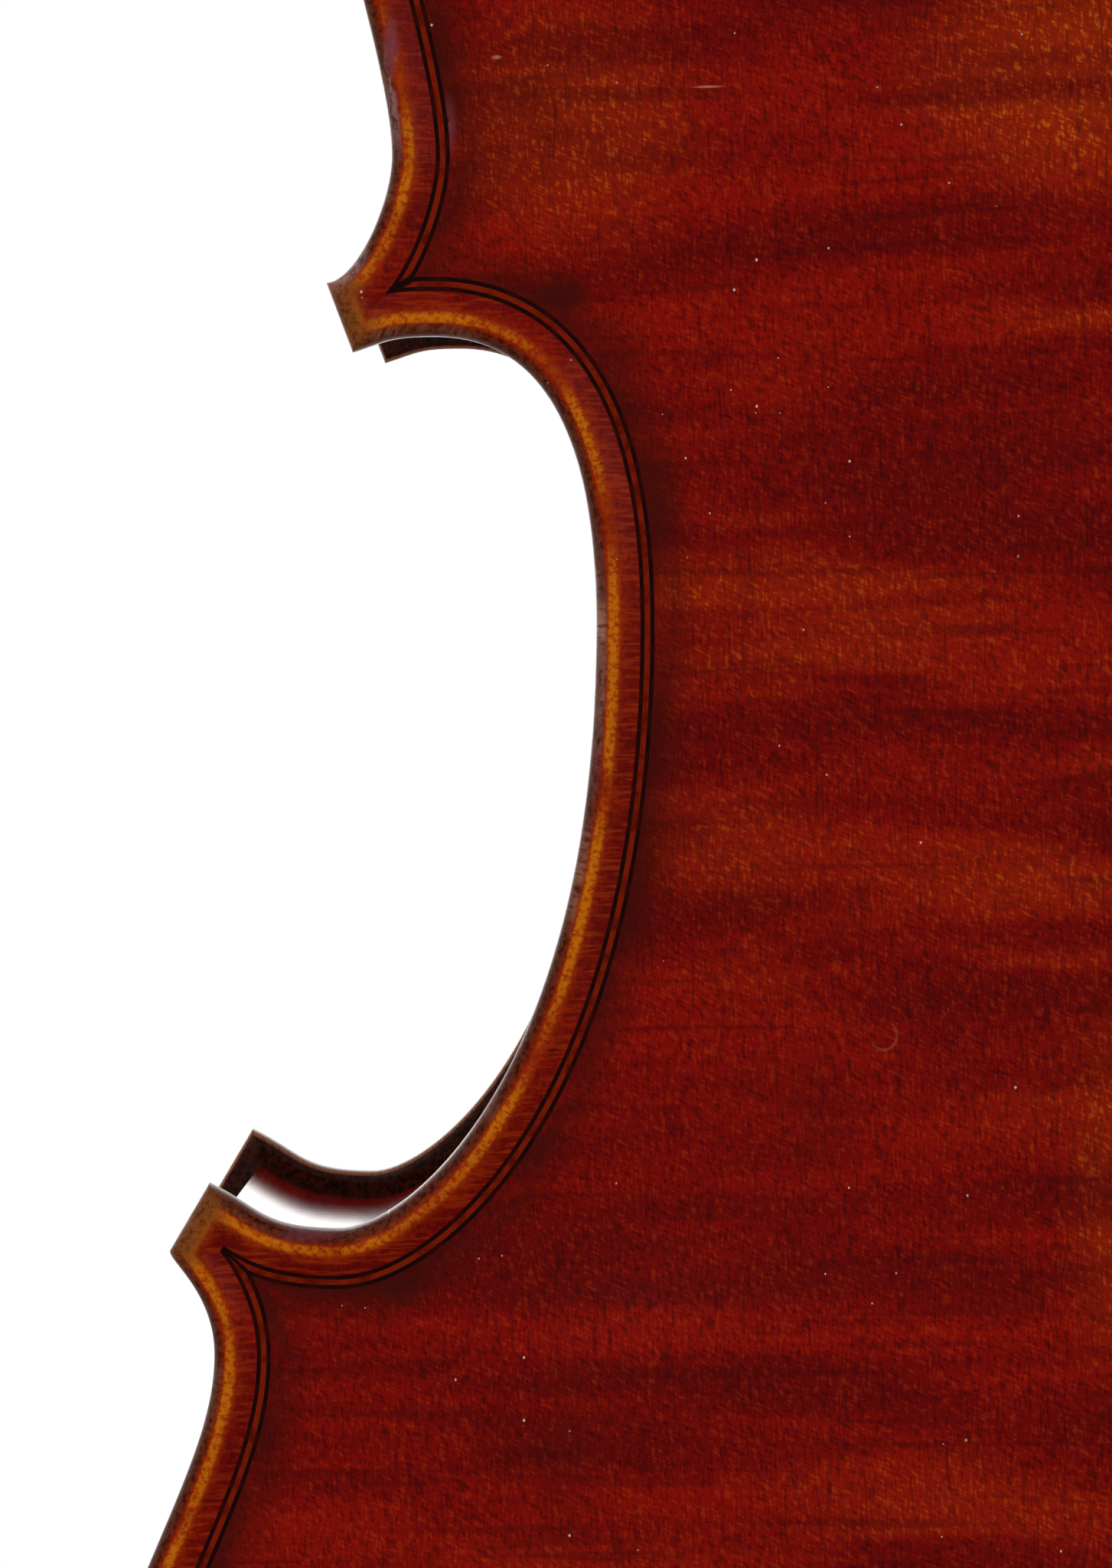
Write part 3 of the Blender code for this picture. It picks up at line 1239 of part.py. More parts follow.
def turned(profile, sides, closed):
    """Rings of a turned piece about the second axis: (radius, height) pairs."""
    rings = []
    for radius, height in profile:
        angles = [2 * math.pi * k / sides for k in range(sides)]
        rings.append([(radius * math.cos(a), height, radius * math.sin(a)) for a in angles])
    return loft(bmesh.new(), rings, caps=not closed)


def fine_tuner():
    """The A string's adjuster: a thumb screw through a collar pushes a lever that draws the string."""
    x = tail_string_x(3)
    seat = tailpiece_rise(abs(x) - COLLAR_RADIUS, TAIL_HOLE_UP / TAILPIECE_LENGTH) + FIT_GAP
    head_out = seat + COLLAR_HEIGHT + 3.6 * MM

    def placed(name, bm, kind, origin):
        turn = Matrix((Vector((1, 0, 0)), TAIL_OUT, TAIL_UP)).transposed().to_4x4()
        obj = place(name, bm, kind)
        obj.matrix_world = Matrix.Translation(origin) @ turn
        return obj

    bore = TUNER_SHANK_RADIUS + 0.25 * MM
    collar = ((bore, 0), (COLLAR_RADIUS, 0), (COLLAR_RADIUS, COLLAR_HEIGHT), (bore, COLLAR_HEIGHT), (bore, 0))
    placed("tuner_collar", turned(collar, 12, True), "nickel", on_tailpiece(x, TAIL_HOLE_UP, seat))

    arm_top = LEVER_LOW + 0.4 * MM
    tip = arm_top + FIT_GAP - head_out
    shank = ((TUNER_SHANK_RADIUS, tip), (TUNER_SHANK_RADIUS, -GLUE_GAP))
    placed("tuner_screw", turned(shank, 12, False), "nickel", on_tailpiece(x, TAIL_HOLE_UP, head_out))
    head = ((0.82 * TUNER_HEAD_RADIUS, 0), (TUNER_HEAD_RADIUS, 0.6 * MM))
    head += ((TUNER_HEAD_RADIUS, 0.85 * TUNER_HEAD_HEIGHT), (0.82 * TUNER_HEAD_RADIUS, TUNER_HEAD_HEIGHT))
    placed("tuner_screw_head", turned(head, 12, False), "nickel", on_tailpiece(x, TAIL_HOLE_UP, head_out))

    hook = LEVER_HOOK
    shape = [(-17.5 * MM, -1.4 * MM), (-4 * MM, -1.4 * MM), (2.6 * MM, -1 * MM), (3.6 * MM, 1 * MM)]
    shape += [(3.6 * MM, 9.2 * MM), (hook, 9.8 * MM), (hook, 11.4 * MM), (2 * MM, 11 * MM)]
    shape += [(2 * MM, 1.8 * MM), (-3 * MM, 0.4 * MM)]
    shape += [(-17.5 * MM, 0.4 * MM)]
    bm = prism(bmesh.new(), [shape], -LEVER_HALF_WIDTH, LEVER_HALF_WIDTH)
    for vert in bm.verts:
        along, across, out = vert.co
        vert.co = (across, out, along)
    placed("tuner_lever", bm, "nickel", on_tailpiece(x, TUNER_PIVOT_UP, LEVER_LOW))


def saddle():
    half, depth = SADDLE_WIDTH / 2, SADDLE_DEPTH
    low_y = GLUE_Y + GLUE_GAP
    rings = []
    for share, rise in ((-1.0, 0.0), (-0.72, 0.9), (0.72, 0.9), (1.0, 0.0)):
        top = GLUE_Y + EDGE_THICKNESS + SADDLE_RISE * rise
        crest = top + SADDLE_RISE * 0.1 * (rise > 0)
        profile = ((low_y, 0.1 * MM), (top - 0.4 * MM, 0.3 * MM), (crest, 1.8 * MM))
        profile += ((top - 0.6 * MM, depth), (low_y, depth))
        rings.append([(half * share, y, BODY_BASE + z) for y, z in profile])
    return place("saddle", loft(bmesh.new(), rings), "ebony")


def end_button():
    """Turned ebony: a shank in the lower block, a collar, a groove for the tailgut and a domed head."""
    inside = BODY_BASE + OVERHANG + RIB_THICKNESS + LOWER_BLOCK_DEPTH
    profile = (
        (BUTTON_SHANK_RADIUS * 0.86, inside), (BUTTON_SHANK_RADIUS, BUTTON_PROJECTION - 0.3 * MM),
        (0.78 * BUTTON_RADIUS, BUTTON_PROJECTION - 0.3 * MM),
        (0.84 * BUTTON_RADIUS, 0.90 * BUTTON_PROJECTION),
        (0.62 * BUTTON_RADIUS, 0.76 * BUTTON_PROJECTION), (0.66 * BUTTON_RADIUS, 0.6 * BUTTON_PROJECTION),
        (BUTTON_RADIUS, 0.42 * BUTTON_PROJECTION), (BUTTON_RADIUS, 0.24 * BUTTON_PROJECTION),
        (0.86 * BUTTON_RADIUS, 0.07 * BUTTON_PROJECTION), (0.55 * BUTTON_RADIUS, 0.0),
    )
    rings = []
    for radius, z in profile:
        angles = [2 * math.pi * k / 16 for k in range(16)]
        rings.append([(radius * math.cos(a), radius * math.sin(a), z) for a in angles])
    return place("end_button", loft(bmesh.new(), rings), "ebony")


def tailgut():
    """The cord from the tailpiece over the saddle, round the end button and back."""
    radius = TAILGUT_DIAMETER / 2
    half = 4.5 * MM
    groove = 0.64 * BUTTON_RADIUS + radius + FIT_GAP
    low = 0.70 * BUTTON_PROJECTION
    front = SADDLE_TOP + radius + 0.35 * MM
    path = [on_tailpiece(half, 9 * MM, -2.2 * MM), on_tailpiece(half, -1 * MM, -2.2 * MM)]
    path += [Vector((half, front, BODY_BASE + 0.6 * SADDLE_DEPTH))]
    path += [Vector((half, front, BODY_BASE + 0.5 * MM))]
    path += [Vector((half * 1.02, front - 1.6 * MM, BODY_BASE - 1.6 * MM))]
    path += [Vector((half * 1.1, 0.55 * front, 0.5 * (BODY_BASE + low) - 1.2 * MM))]
    path += [Vector((groove, 2 * MM, low))]
    around = [Vector((groove * math.cos(a), groove * math.sin(a), low)) for a in np.linspace(0, -math.pi, 9)]
    other = [Vector((-p.x, p.y, p.z)) for p in reversed(path)]
    return tube("tailgut", path + around + other, TAILGUT_DIAMETER, "cord")


def purfling_top():
    """The belly's purfling, in two lengths that stop at the neck and at the saddle."""
    lower, low_tip, waist, high_tip, upper = pieces(PURFLING_IN)
    outer = half_ring(PURFLING_IN)
    inner = half_ring(PURFLING_IN + PURFLING_WIDTH)
    start = SADDLE_WIDTH / 2 + FIT_GAP
    stop = heel_half_width(GLUE_Y + EDGE_THICKNESS) + FIT_GAP + GLUE_GAP
    top, bottom = CHANNEL_LEVEL, CHANNEL_LEVEL - PURFLING_DEPTH + GROOVE_GAP
    for side in (-1, 1):
        rings = []
        pairs = list(zip(clipped(outer, start, stop), clipped(inner, start, stop)))
        for (ox, oz), (ix, iz) in pairs:
            section = ((ox, oz, bottom), (ox, oz, top), (ix, iz, top), (ix, iz, bottom))
            rings.append([(side * x, GLUE_Y + GLUE_GAP + h, BODY_BASE + z) for x, z, h in section])
        place(f"purfling_top_{side_name(side)}", loft(bmesh.new(), rings), "purfling")


def clipped(half, start, stop):
    """A half ring cut off at x = start near its bottom and x = stop near its top."""
    half = half.copy()
    first = int(np.argmax(half[:, 0] > start))
    last = len(half) - 1 - int(np.argmax(half[::-1, 0] > stop))

    def between(outer, inner, x):
        share = (x - half[outer, 0]) / (half[inner, 0] - half[outer, 0])
        return half[outer] + (half[inner] - half[outer]) * share

    low, high = between(first - 1, first, start), between(last + 1, last, stop)
    return np.vstack([low, half[first : last + 1], high])


def main():
    clear_scene()
    back_plate()
    top_plate()
    purfling_back()
    purfling_top()
    ribs()
    linings()
    corner_blocks()
    end_blocks()
    bass_bar()
    sound_post()
    neck()
    fingerboard()
    nut()
    pegs()
    bridge()
    tailpiece()
    fine_tuner()
    strings()
    saddle()
    end_button()
    tailgut()


main()
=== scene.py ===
from math import asin, atan2, copysign, cos, exp, hypot, pi, radians, sin, sqrt

import bmesh
import bpy
import numpy as np
from mathutils import Matrix, Vector
from mathutils.geometry import delaunay_2d_cdt


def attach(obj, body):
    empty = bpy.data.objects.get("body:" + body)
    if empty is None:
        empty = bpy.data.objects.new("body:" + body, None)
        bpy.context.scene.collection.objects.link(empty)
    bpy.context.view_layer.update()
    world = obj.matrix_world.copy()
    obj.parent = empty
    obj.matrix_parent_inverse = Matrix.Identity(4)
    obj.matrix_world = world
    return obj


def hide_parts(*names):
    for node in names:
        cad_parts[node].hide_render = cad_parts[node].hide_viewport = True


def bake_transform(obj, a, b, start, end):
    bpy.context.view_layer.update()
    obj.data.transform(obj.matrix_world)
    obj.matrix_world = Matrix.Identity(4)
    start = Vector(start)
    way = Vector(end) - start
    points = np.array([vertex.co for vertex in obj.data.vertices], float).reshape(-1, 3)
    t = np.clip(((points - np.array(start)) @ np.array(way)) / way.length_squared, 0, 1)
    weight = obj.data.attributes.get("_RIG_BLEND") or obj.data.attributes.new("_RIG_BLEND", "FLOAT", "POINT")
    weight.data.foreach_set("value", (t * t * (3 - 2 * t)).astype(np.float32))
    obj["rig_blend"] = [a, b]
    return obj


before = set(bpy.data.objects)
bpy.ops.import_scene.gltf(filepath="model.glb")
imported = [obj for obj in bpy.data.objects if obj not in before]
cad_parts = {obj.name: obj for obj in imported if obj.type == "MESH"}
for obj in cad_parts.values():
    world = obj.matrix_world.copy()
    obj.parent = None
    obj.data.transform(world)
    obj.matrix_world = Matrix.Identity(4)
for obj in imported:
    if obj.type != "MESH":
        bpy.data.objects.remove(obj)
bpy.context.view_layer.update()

mm = 0.001
print("frame loaded:", len(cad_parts), "nodes")


def addObject(name, data):
    # puts a camera, a lamp or a mesh that is still being made into the scene
    if isinstance(data, bmesh.types.BMesh):
        bm, data = data, bpy.data.meshes.new(name)
        bm.to_mesh(data)
        bm.free()
    obj = bpy.data.objects.new(name, data)
    bpy.context.scene.collection.objects.link(obj)
    return obj


# the camera, where the photograph was taken from
camera = {
    "lens": 107.4,
    "place": (-0.04805, -0.4907, 0.2478),
    "acrossRow": (0.04476, 0.06285, -1.0),  # the world's Y in the camera's own axes
    "upRow": (0.0, 1.0, 0.06285),  # the world's Z
}


def makeCamera():
    data = bpy.data.cameras.new("camera")
    data.lens, data.sensor_width = camera["lens"], 36
    data.clip_start, data.clip_end = 0.01, 50
    obj = addObject("camera", data)
    rowY, rowZ = Vector(camera["acrossRow"]).normalized(), Vector(camera["upRow"]).normalized()
    turn = Matrix((rowY.cross(rowZ).normalized(), rowY, rowZ)).to_4x4()
    obj.matrix_world = Matrix.Translation(camera["place"]) @ turn
    bpy.context.scene.camera = obj


makeCamera()
print("camera placed")


# meshes: rings of points, each extruded from the one before
def skin(bm, rings, caps=True, closed=True, **marks):
    # marks are numbers kept on the points, by ring and by place in the ring
    layers = [bm.verts.layers.float.new(name) for name in marks]
    made, verts, edges = [], [], []
    for ring in rings:
        if made:
            grown = bmesh.ops.extrude_edge_only(bm, edges=edges)["geom"]
            fresh = {v for v in grown if isinstance(v, bmesh.types.BMVert)}
            verts = [next(o for e in v.link_edges if (o := e.other_vert(v)) in fresh) for v in verts]
            for vert, point in zip(verts, ring):
                vert.co = point
        else:
            verts = [bm.verts.new(p) for p in ring]
        pairs = list(zip(verts, verts[1:] + verts[:1] if closed else verts[1:]))
        edges = [bm.edges.get(pair) if made else bm.edges.new(pair) for pair in pairs]
        if caps and len(made) in (0, len(rings) - 1):
            bm.faces.new(verts)
        made.append(verts)
    for layer, values in zip(layers, marks.values()):
        for verts, row in zip(made, np.broadcast_to(values, (len(made), len(made[0])))):
            for vert, value in zip(verts, row):
                vert[layer] = value
    return made


def leftTurning(loop):
    # the loop's points, the way round that keeps its inside to the left
    loop = np.array(loop, float)
    x, z = loop.T
    area = (x * np.roll(z, -1) - np.roll(x, -1) * z).sum()
    return loop if area > 0 else loop[::-1]


def flatLoops(loops):
    # flat loops as points and faces to fill, the first outside and the rest holes
    points, faces = [], []
    for loop in loops:
        faces.append(list(range(len(points), len(points) + len(loop))))
        points += [Vector(p) for p in loop]
    return points, faces


def sawn(bm, loops, place):
    # fills flat loops and gives them thickness, from 0 to 1 in the place given
    points, faces = flatLoops(map(leftTurning, loops))
    flat, _, triangles, _, _, origins = delaunay_2d_cdt(points, [], faces, 1, 1e-9)
    verts = [bm.verts.new(place(x, z, 0)) for x, z in flat]
    spots = {tuple(v.co): tuple(p) for v, p in zip(verts, flat)}
    filled = [bm.faces.new([verts[i] for i in t]) for t, o in zip(triangles, origins) if max(o) == 0]
    for vert in bmesh.ops.extrude_face_region(bm, geom=filled)["geom"]:
        if isinstance(vert, bmesh.types.BMVert):
            vert.co = place(*spots[tuple(vert.co)], 1)
    for vert in [v for v in bm.verts if not v.link_faces]:
        bm.verts.remove(vert)


def smoothed(obj, angle):
    obj.data.shade_smooth()
    obj.data.set_sharp_from_angle(angle=radians(angle))


def finishPiece(name, shape, materials, slot, *stands, body="viola", angle=40, merge=1e-6):
    # shape is a mesh or its rings, and stands are the solids that the piece takes the place of
    bm = shape
    if isinstance(shape, list):
        bm = bmesh.new()
        skin(bm, shape)
    if merge:
        bmesh.ops.remove_doubles(bm, verts=bm.verts[:], dist=merge)
    bmesh.ops.recalc_face_normals(bm, faces=bm.faces[:])
    obj = addObject(name, bm)
    smoothed(obj, angle)
    for material in materials if isinstance(materials, list) else [materials]:
        obj.data.materials.append(material)
    if body:
        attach(obj, body)
    if stands:
        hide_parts(*stands)
    return obj


def softened(obj, width, segments, angle):
    bevel = obj.modifiers.new("softened edges", "BEVEL")
    bevel.width, bevel.segments = width, segments
    bevel.limit_method, bevel.angle_limit = "ANGLE", radians(angle)


def cutWith(obj, rings):
    # takes a shape out of a finished piece for good
    bm = bmesh.new()
    skin(bm, rings)
    bmesh.ops.recalc_face_normals(bm, faces=bm.faces[:])
    cutter = addObject("cutter", bm)
    boolean = obj.modifiers.new("cut", "BOOLEAN")
    boolean.operation, boolean.solver, boolean.object = "DIFFERENCE", "EXACT", cutter
    graph = bpy.context.evaluated_depsgraph_get()
    mesh = bpy.data.meshes.new_from_object(obj.evaluated_get(graph))
    obj.modifiers.clear()
    old, obj.data = obj.data, mesh
    bpy.data.meshes.remove(old)
    bpy.data.objects.remove(cutter, do_unlink=True)
    smoothed(obj, 35)


def between(stations, steps):
    # a smooth run through rings or tuples of numbers, some steps from each to the next
    table = np.array(stations, float)
    padded = np.concatenate([2 * table[:1] - table[1:2], table, 2 * table[-1:] - table[-2:-1]])
    made = []
    for k in range(len(table) - 1):
        a, b, c, d = padded[k : k + 4]
        for t in np.linspace(0, 1, steps, endpoint=False):
            bend = (2 * a - 5 * b + 4 * c - d) * t * t + (3 * b - a - 3 * c + d) * t**3
            made.append(0.5 * (2 * b + (c - a) * t + bend))
    return [*made, table[-1]]


def smoothStep(t):
    return t * t * (3 - 2 * t)


def partWay(share, start, end):
    return start + share * (end - start)


def circle(count):
    angles = np.linspace(0, 2 * pi, count, endpoint=False)
    return np.column_stack([np.cos(angles), np.sin(angles)])


def lathed(profile, sides, place):
    # (radius, height) pairs turned round; place(across, height, deep) gives the point
    return [[place(r * c, h, r * s) for c, s in circle(sides)] for r, h in profile]


def tubeAlong(points, radii, sides):
    # a round cord along a path, with the length so far in millimetres kept on its points
    path = [Vector(p) for p in points]
    radii = [radii] * len(path) if np.isscalar(radii) else radii
    ways = [(path[min(k + 1, len(path) - 1)] - path[max(k - 1, 0)]).normalized() for k in range(len(path))]
    side = ways[0].orthogonal().normalized()
    rings, lengths, run = [], [], 0.0
    for k, (point, way, radius) in enumerate(zip(path, ways, radii)):
        side = (side - way * side.dot(way)).normalized()
        up = way.cross(side)
        rings.append([point + radius * (side * c + up * s) for c, s in circle(sides)])
        run += (point - path[k - 1]).length if k else 0.0
        lengths.append([run / mm])
    bm = bmesh.new()
    skin(bm, rings, along=lengths)
    return bm


# materials: short ways to the nodes of the one in hand
hand = {}


def wire(value, socket):
    if isinstance(value, bpy.types.NodeSocket):
        hand["tree"].links.new(value, socket)
    else:
        colour = isinstance(value, tuple) and len(socket.default_value) == 4
        socket.default_value = (*value, 1) if colour else value


def newMaterial(name, **sockets):
    made = bpy.data.materials.new(name)
    made.use_nodes = True
    shader = made.node_tree.nodes["Principled BSDF"]
    hand.update(material=made, tree=made.node_tree, shader=shader.inputs)
    for label, value in sockets.items():
        wire(value, shader.inputs[label.replace("_", " ")])
    return made


def addNode(kind, inputs=(), **settings):
    made = hand["tree"].nodes.new("ShaderNode" + kind)
    for key, value in settings.items():
        setattr(made, key, value)
    for key, value in dict(inputs).items():
        wire(value, made.inputs[key])
    return made


def finished(colour, height, strength, depth=0.1, roughness=None):
    # the last steps of a material; the relief's depth is in millimetres
    wire(colour, hand["shader"]["Base Color"])
    if roughness is not None:
        wire(roughness, hand["shader"]["Roughness"])
    bump = addNode("Bump", {"Height": height, "Strength": strength, "Distance": depth * mm})
    wire(bump.outputs[0], hand["shader"]["Normal"])
    return hand["material"]


def placed(source, scale=(1, 1, 1), turn=(0, 0, 0), move=(0, 0, 0)):
    return addNode("Mapping", {"Vector": source, "Scale": scale, "Rotation": turn, "Location": move}).outputs[0]


def noise(source, size, detail=2.0, rough=0.5, distort=0.0, move=(0, 0, 0)):
    vector = placed(source, size if isinstance(size, tuple) else (size, size, size), move=move)
    inputs = {"Vector": vector, "Scale": 1.0, "Detail": detail, "Roughness": rough, "Distortion": distort}
    return addNode("TexNoise", inputs).outputs["Fac"]


def remap(value, low, high, toLow=0.0, toHigh=1.0):
    inputs = {"Value": value, "From Min": low, "From Max": high, "To Min": toLow, "To Max": toHigh}
    return addNode("MapRange", inputs, interpolation_type="SMOOTHSTEP").outputs[0]


def calc(operation, a, b=0.0, clamp=False):
    return addNode("Math", {0: a, 1: b}, operation=operation, use_clamp=clamp).outputs[0]


def times(*values):
    product = values[0]
    for value in values[1:]:
        product = calc("MULTIPLY", product, value)
    return product


def plus(a, b):
    return calc("ADD", a, b)


def tint(share, a, b):
    return addNode("Mix", {0: share, 6: a, 7: b}, data_type="RGBA").outputs[2]


def attribute(name):
    return addNode("Attribute", attribute_name=name).outputs["Fac"]


def ownPlace():
    return addNode("TexCoord").outputs["Object"]


def apart(place):
    return addNode("SeparateXYZ", {0: place}).outputs


def together(*parts):
    return addNode("CombineXYZ", dict(enumerate(parts))).outputs[0]


def lengthOf(place):
    return addNode("VectorMath", {0: place}, operation="LENGTH").outputs["Value"]


def shade(*rgb):  # a colour as a picture shows it, 0 to 255
    return tuple((v / 255) ** 2.2 for v in rgb)


def darker(colour, share):
    return tuple(share * v for v in colour)


# the body's outline, half of it, from the bottom to the top
outline = {
    "lower": (((0, 0), (74, 0), (120.5, 35), (120.5, 81)),
              ((120.5, 81), (120.5, 117.69), (103.9, 133.53), (103.9, 148.27)),
              ((103.9, 148.27), (103.9, 154.72), (108.57, 157.82), (108.4, 158.9))),
    "waist": (((104.4, 165.7), (98.68, 162.85), (98.93, 161.12), (91.14, 161.12)),
              ((91.14, 161.12), (85.03, 161.12), (65, 175.64), (65, 222.5)),
              ((65, 222.5), (65, 241.68), (70.41, 251.46), (81.29, 251.46)),
              ((81.29, 251.46), (85.82, 251.46), (85.94, 251.03), (89.5, 249.9))),
    "upper": (((92.15, 256.85), (88.9, 257.07), (85.5, 265.19), (85.5, 269.4)),
              ((85.5, 269.4), (85.5, 280.19), (96.4, 307.96), (96.4, 327)),
              ((96.4, 327), (96.4, 375.98), (55.9, 406), (0, 406))),
    "length": 406.0,
    "base": 11.7,  # height of the body's bottom edge
    "counts": (220, 5, 150, 5, 190),  # points on the lower bout, corner, waist, corner and upper bout
}


def bezier(start, leave, arrive, end, count):
    t = np.linspace(0, 1, count + 1)[:, None]
    ends = (1 - t) ** 3 * np.array(start) + t**3 * np.array(end)
    return ends + 3 * (1 - t) ** 2 * t * np.array(leave) + 3 * (1 - t) * t**2 * np.array(arrive)


def chain(*curves):
    return np.vstack([curves[0], *(c[1:] for c in curves[1:])])


def roundedLoop(points, count=4):
    points = np.array(points, float)
    before, after, later = (np.roll(points, by, axis=0) for by in (1, -1, -2))
    leave, arrive = points + (after - before) / 6, after - (later - points) / 6
    return np.vstack([bezier(*four, count)[:-1] for four in zip(points, leave, arrive, after)])


def lengthsAlong(line):  # the length so far at each point of a line
    return np.concatenate([[0], np.cumsum(np.linalg.norm(np.diff(line, axis=0), axis=1))])


def inwards(curve, distance):
    step = np.gradient(curve, axis=0)
    normal = np.column_stack([-step[:, 1], step[:, 0]])
    return curve + distance * normal / np.linalg.norm(step, axis=1)[:, None]


def distinct(curve):
    step = np.linalg.norm(np.diff(curve, axis=0), axis=1)
    return curve[np.concatenate([[True], step > 1e-6])]


def extended(curve, start, end):
    first, last = curve[0] - curve[1], curve[-1] - curve[-2]
    first, last = first / np.linalg.norm(first), last / np.linalg.norm(last)
    return distinct(np.vstack([[curve[0] + start * first], curve, [curve[-1] + end * last]]))


def crossing(a, b):  # where line a first crosses line b, as places along both
    p, r = a[:-1, None], np.diff(a, axis=0)[:, None]
    q, s = b[None, :-1], np.diff(b, axis=0)[None]
    across = r[..., 0] * s[..., 1] - r[..., 1] * s[..., 0]
    across = np.where(np.abs(across) < 1e-13, 1e-13, across)
    gap = q - p
    t = (gap[..., 0] * s[..., 1] - gap[..., 1] * s[..., 0]) / across
    u = (gap[..., 0] * r[..., 1] - gap[..., 1] * r[..., 0]) / across
    hits = np.argwhere((t >= 0) & (t <= 1) & (u >= 0) & (u <= 1))
    if not len(hits):
        return None
    i, j = hits[0]
    return i + t[i, j], j + u[i, j]


def at(curve, index):
    i = min(int(index), len(curve) - 2)
    return curve[i] + (index - i) * (curve[i + 1] - curve[i])


def upTo(curve, index):
    return distinct(np.vstack([curve[: int(index) + 1], [at(curve, index)]]))


def onward(curve, index):
    return distinct(np.vstack([[at(curve, index)], curve[int(index) + 1 :]]))


def mitre(before, tip, after, distance):  # trims two offset lines where they meet at a corner
    if distance < 1e-6:
        return before, tip, after
    line = inwards(tip, distance)
    before, after = extended(before, 0, 12), extended(after, 12, 0)
    met = crossing(before, after)
    if met:
        point = at(before, met[0])
        if (point - line[0]) @ (line[0] - tip[0]) >= 0:
            return upTo(before, met[0]), np.array([point, point]), onward(after, met[1])
    line = extended(line, 6, 6)
    low, high = crossing(before, line), crossing(after[::-1], line)
    before, after = upTo(before, low[0]), onward(after, len(after) - 1 - high[0])
    return before, np.array([before[-1], after[0]]), after


def resampled(curve, shares):
    length = lengthsAlong(curve)
    want = np.array(shares) * length[-1]
    return np.column_stack([np.interp(want, length, curve[:, k]) for k in (0, 1)])


runs = {name: chain(*(bezier(*part, 60) for part in outline[name])) for name in ("lower", "waist", "upper")}


def outlinePieces(distance):
    lower, waist, upper = (inwards(runs[name], distance) for name in ("lower", "waist", "upper"))
    lower, lowTip, waist = mitre(lower, np.array([runs["lower"][-1], runs["waist"][0]]), waist, distance)
    waist, highTip, upper = mitre(waist, np.array([runs["waist"][-1], runs["upper"][0]]), upper, distance)
    lower[0, 0] = upper[-1, 0] = 0.0
    return lower, lowTip, waist, highTip, upper


def spread():  # shares along each piece, closer together towards the corners
    lower, lowTip, waist, highTip, upper = (np.linspace(0, 1, n) for n in outline["counts"])
    both = 0.5 - 0.5 * np.cos(pi * (0.2 + 0.6 * waist))
    both = (both - both[0]) / (both[-1] - both[0])
    return 1 - (1 - lower) ** 1.35, lowTip[1:-1], both, highTip[1:-1], upper**1.35


def halfRing(distance):
    return np.vstack([resampled(c, s) for c, s in zip(outlinePieces(distance), spread())])


def wholeRing(distance):
    half = halfRing(distance)
    return np.vstack([half, half[-2:0:-1] * (-1, 1)])


ringLength = lengthsAlong(wholeRing(0))
print("outline drawn")


# the plates' arching and edges; heights are over the glued face
plates = {
    "glue": 18.6,  # y of the glued faces, behind and in front
    "edge": 22.9,  # y of the belly's outer face at its edge
    "channel": 3.3,
    "backArch": 12.6,
    "bellyArch": 14.0,
    "backThickness": 3.4,
    "bellyThickness": 2.9,
    "purfling": (4.5, 4.92, 5.48, 5.9),  # in from the outline: where its three layers begin and end
    "groove": (1.6, 1.5),  # heights of its floor at both sides
    "strip": (1.7, 3.44, 0.1),  # the layers' foot, and their top with its fall inwards
    "inside": (8.5, 7.6),  # where the hollow and the arching's net of triangles begin
    "grids": (6.0, 2.4),  # the triangles' size in both
}
edgeProfile = (  # distance in from the outline, height
    (8.5, 0.0), (4.3, 0.0), (3.2, 0.0), (1.0, 0.0), (0.35, 0.12), (0.1, 0.5), (0.0, 1.0), (0.0, 1.7),
    (0.03, 2.3), (0.12, 2.9), (0.32, 3.45), (0.62, 3.9), (0.95, 4.18), (1.3, 4.34), (1.7, 4.4), (2.1, 4.38),
    (2.5, 4.27), (3.0, 4.06), (3.5, 3.82), (4.0, 3.6), (4.5, 3.44),
)


def onBody(x, side, height, z):
    # side is -1 behind and 1 in front; z is over the body's bottom edge
    return (x * mm, side * (plates["glue"] + height) * mm, (outline["base"] + z) * mm)


def channelTable(inside=6.4):  # half the width of the arched middle at each height
    line = halfRing(inside)
    low, high = line[:-1], line[1:]
    heights = np.arange(inside, outline["length"] - inside, 1.0)
    widths = []
    for z in heights:
        hit = (low[:, 1] - z) * (high[:, 1] - z) <= 0
        rise = np.where(high[hit, 1] == low[hit, 1], 1, high[hit, 1] - low[hit, 1])
        share = (z - low[hit, 1]) / rise
        widths.append((low[hit, 0] + share * (high[hit, 0] - low[hit, 0])).min())
    padded = np.pad(widths, 4, mode="edge")
    eroded = np.array([padded[i : i + 9].min() for i in range(len(widths))])
    bell = np.exp(-0.5 * (np.arange(-12, 13) / 5.0) ** 2)
    smooth = np.convolve(np.pad(eroded, 12, mode="edge"), bell / bell.sum(), mode="valid")
    return heights, np.maximum(smooth, 1.0)


channelZ, channelHalf = channelTable()


def arch(x, z):  # share of the arching's full height
    along = (z - channelZ[0]) / (channelZ[-1] - channelZ[0])
    fromEnd = np.clip(1 - np.abs(2 * along - 1), 0, 1)
    longArch = (1 - (1 - fromEnd) ** 2.6) * smoothStep(np.clip(fromEnd / 0.14, 0, 1))
    across = np.clip(np.abs(x) / np.interp(z, channelZ, channelHalf), 0, 1)
    return longArch * (0.5 + 0.5 * np.cos(pi * across**1.25))


def bellyTop(x, z):  # y of the belly's outer face at a world x and z, all in millimetres
    return plates["glue"] + plates["channel"] + plates["bellyArch"] * float(arch(x, z - outline["base"]))


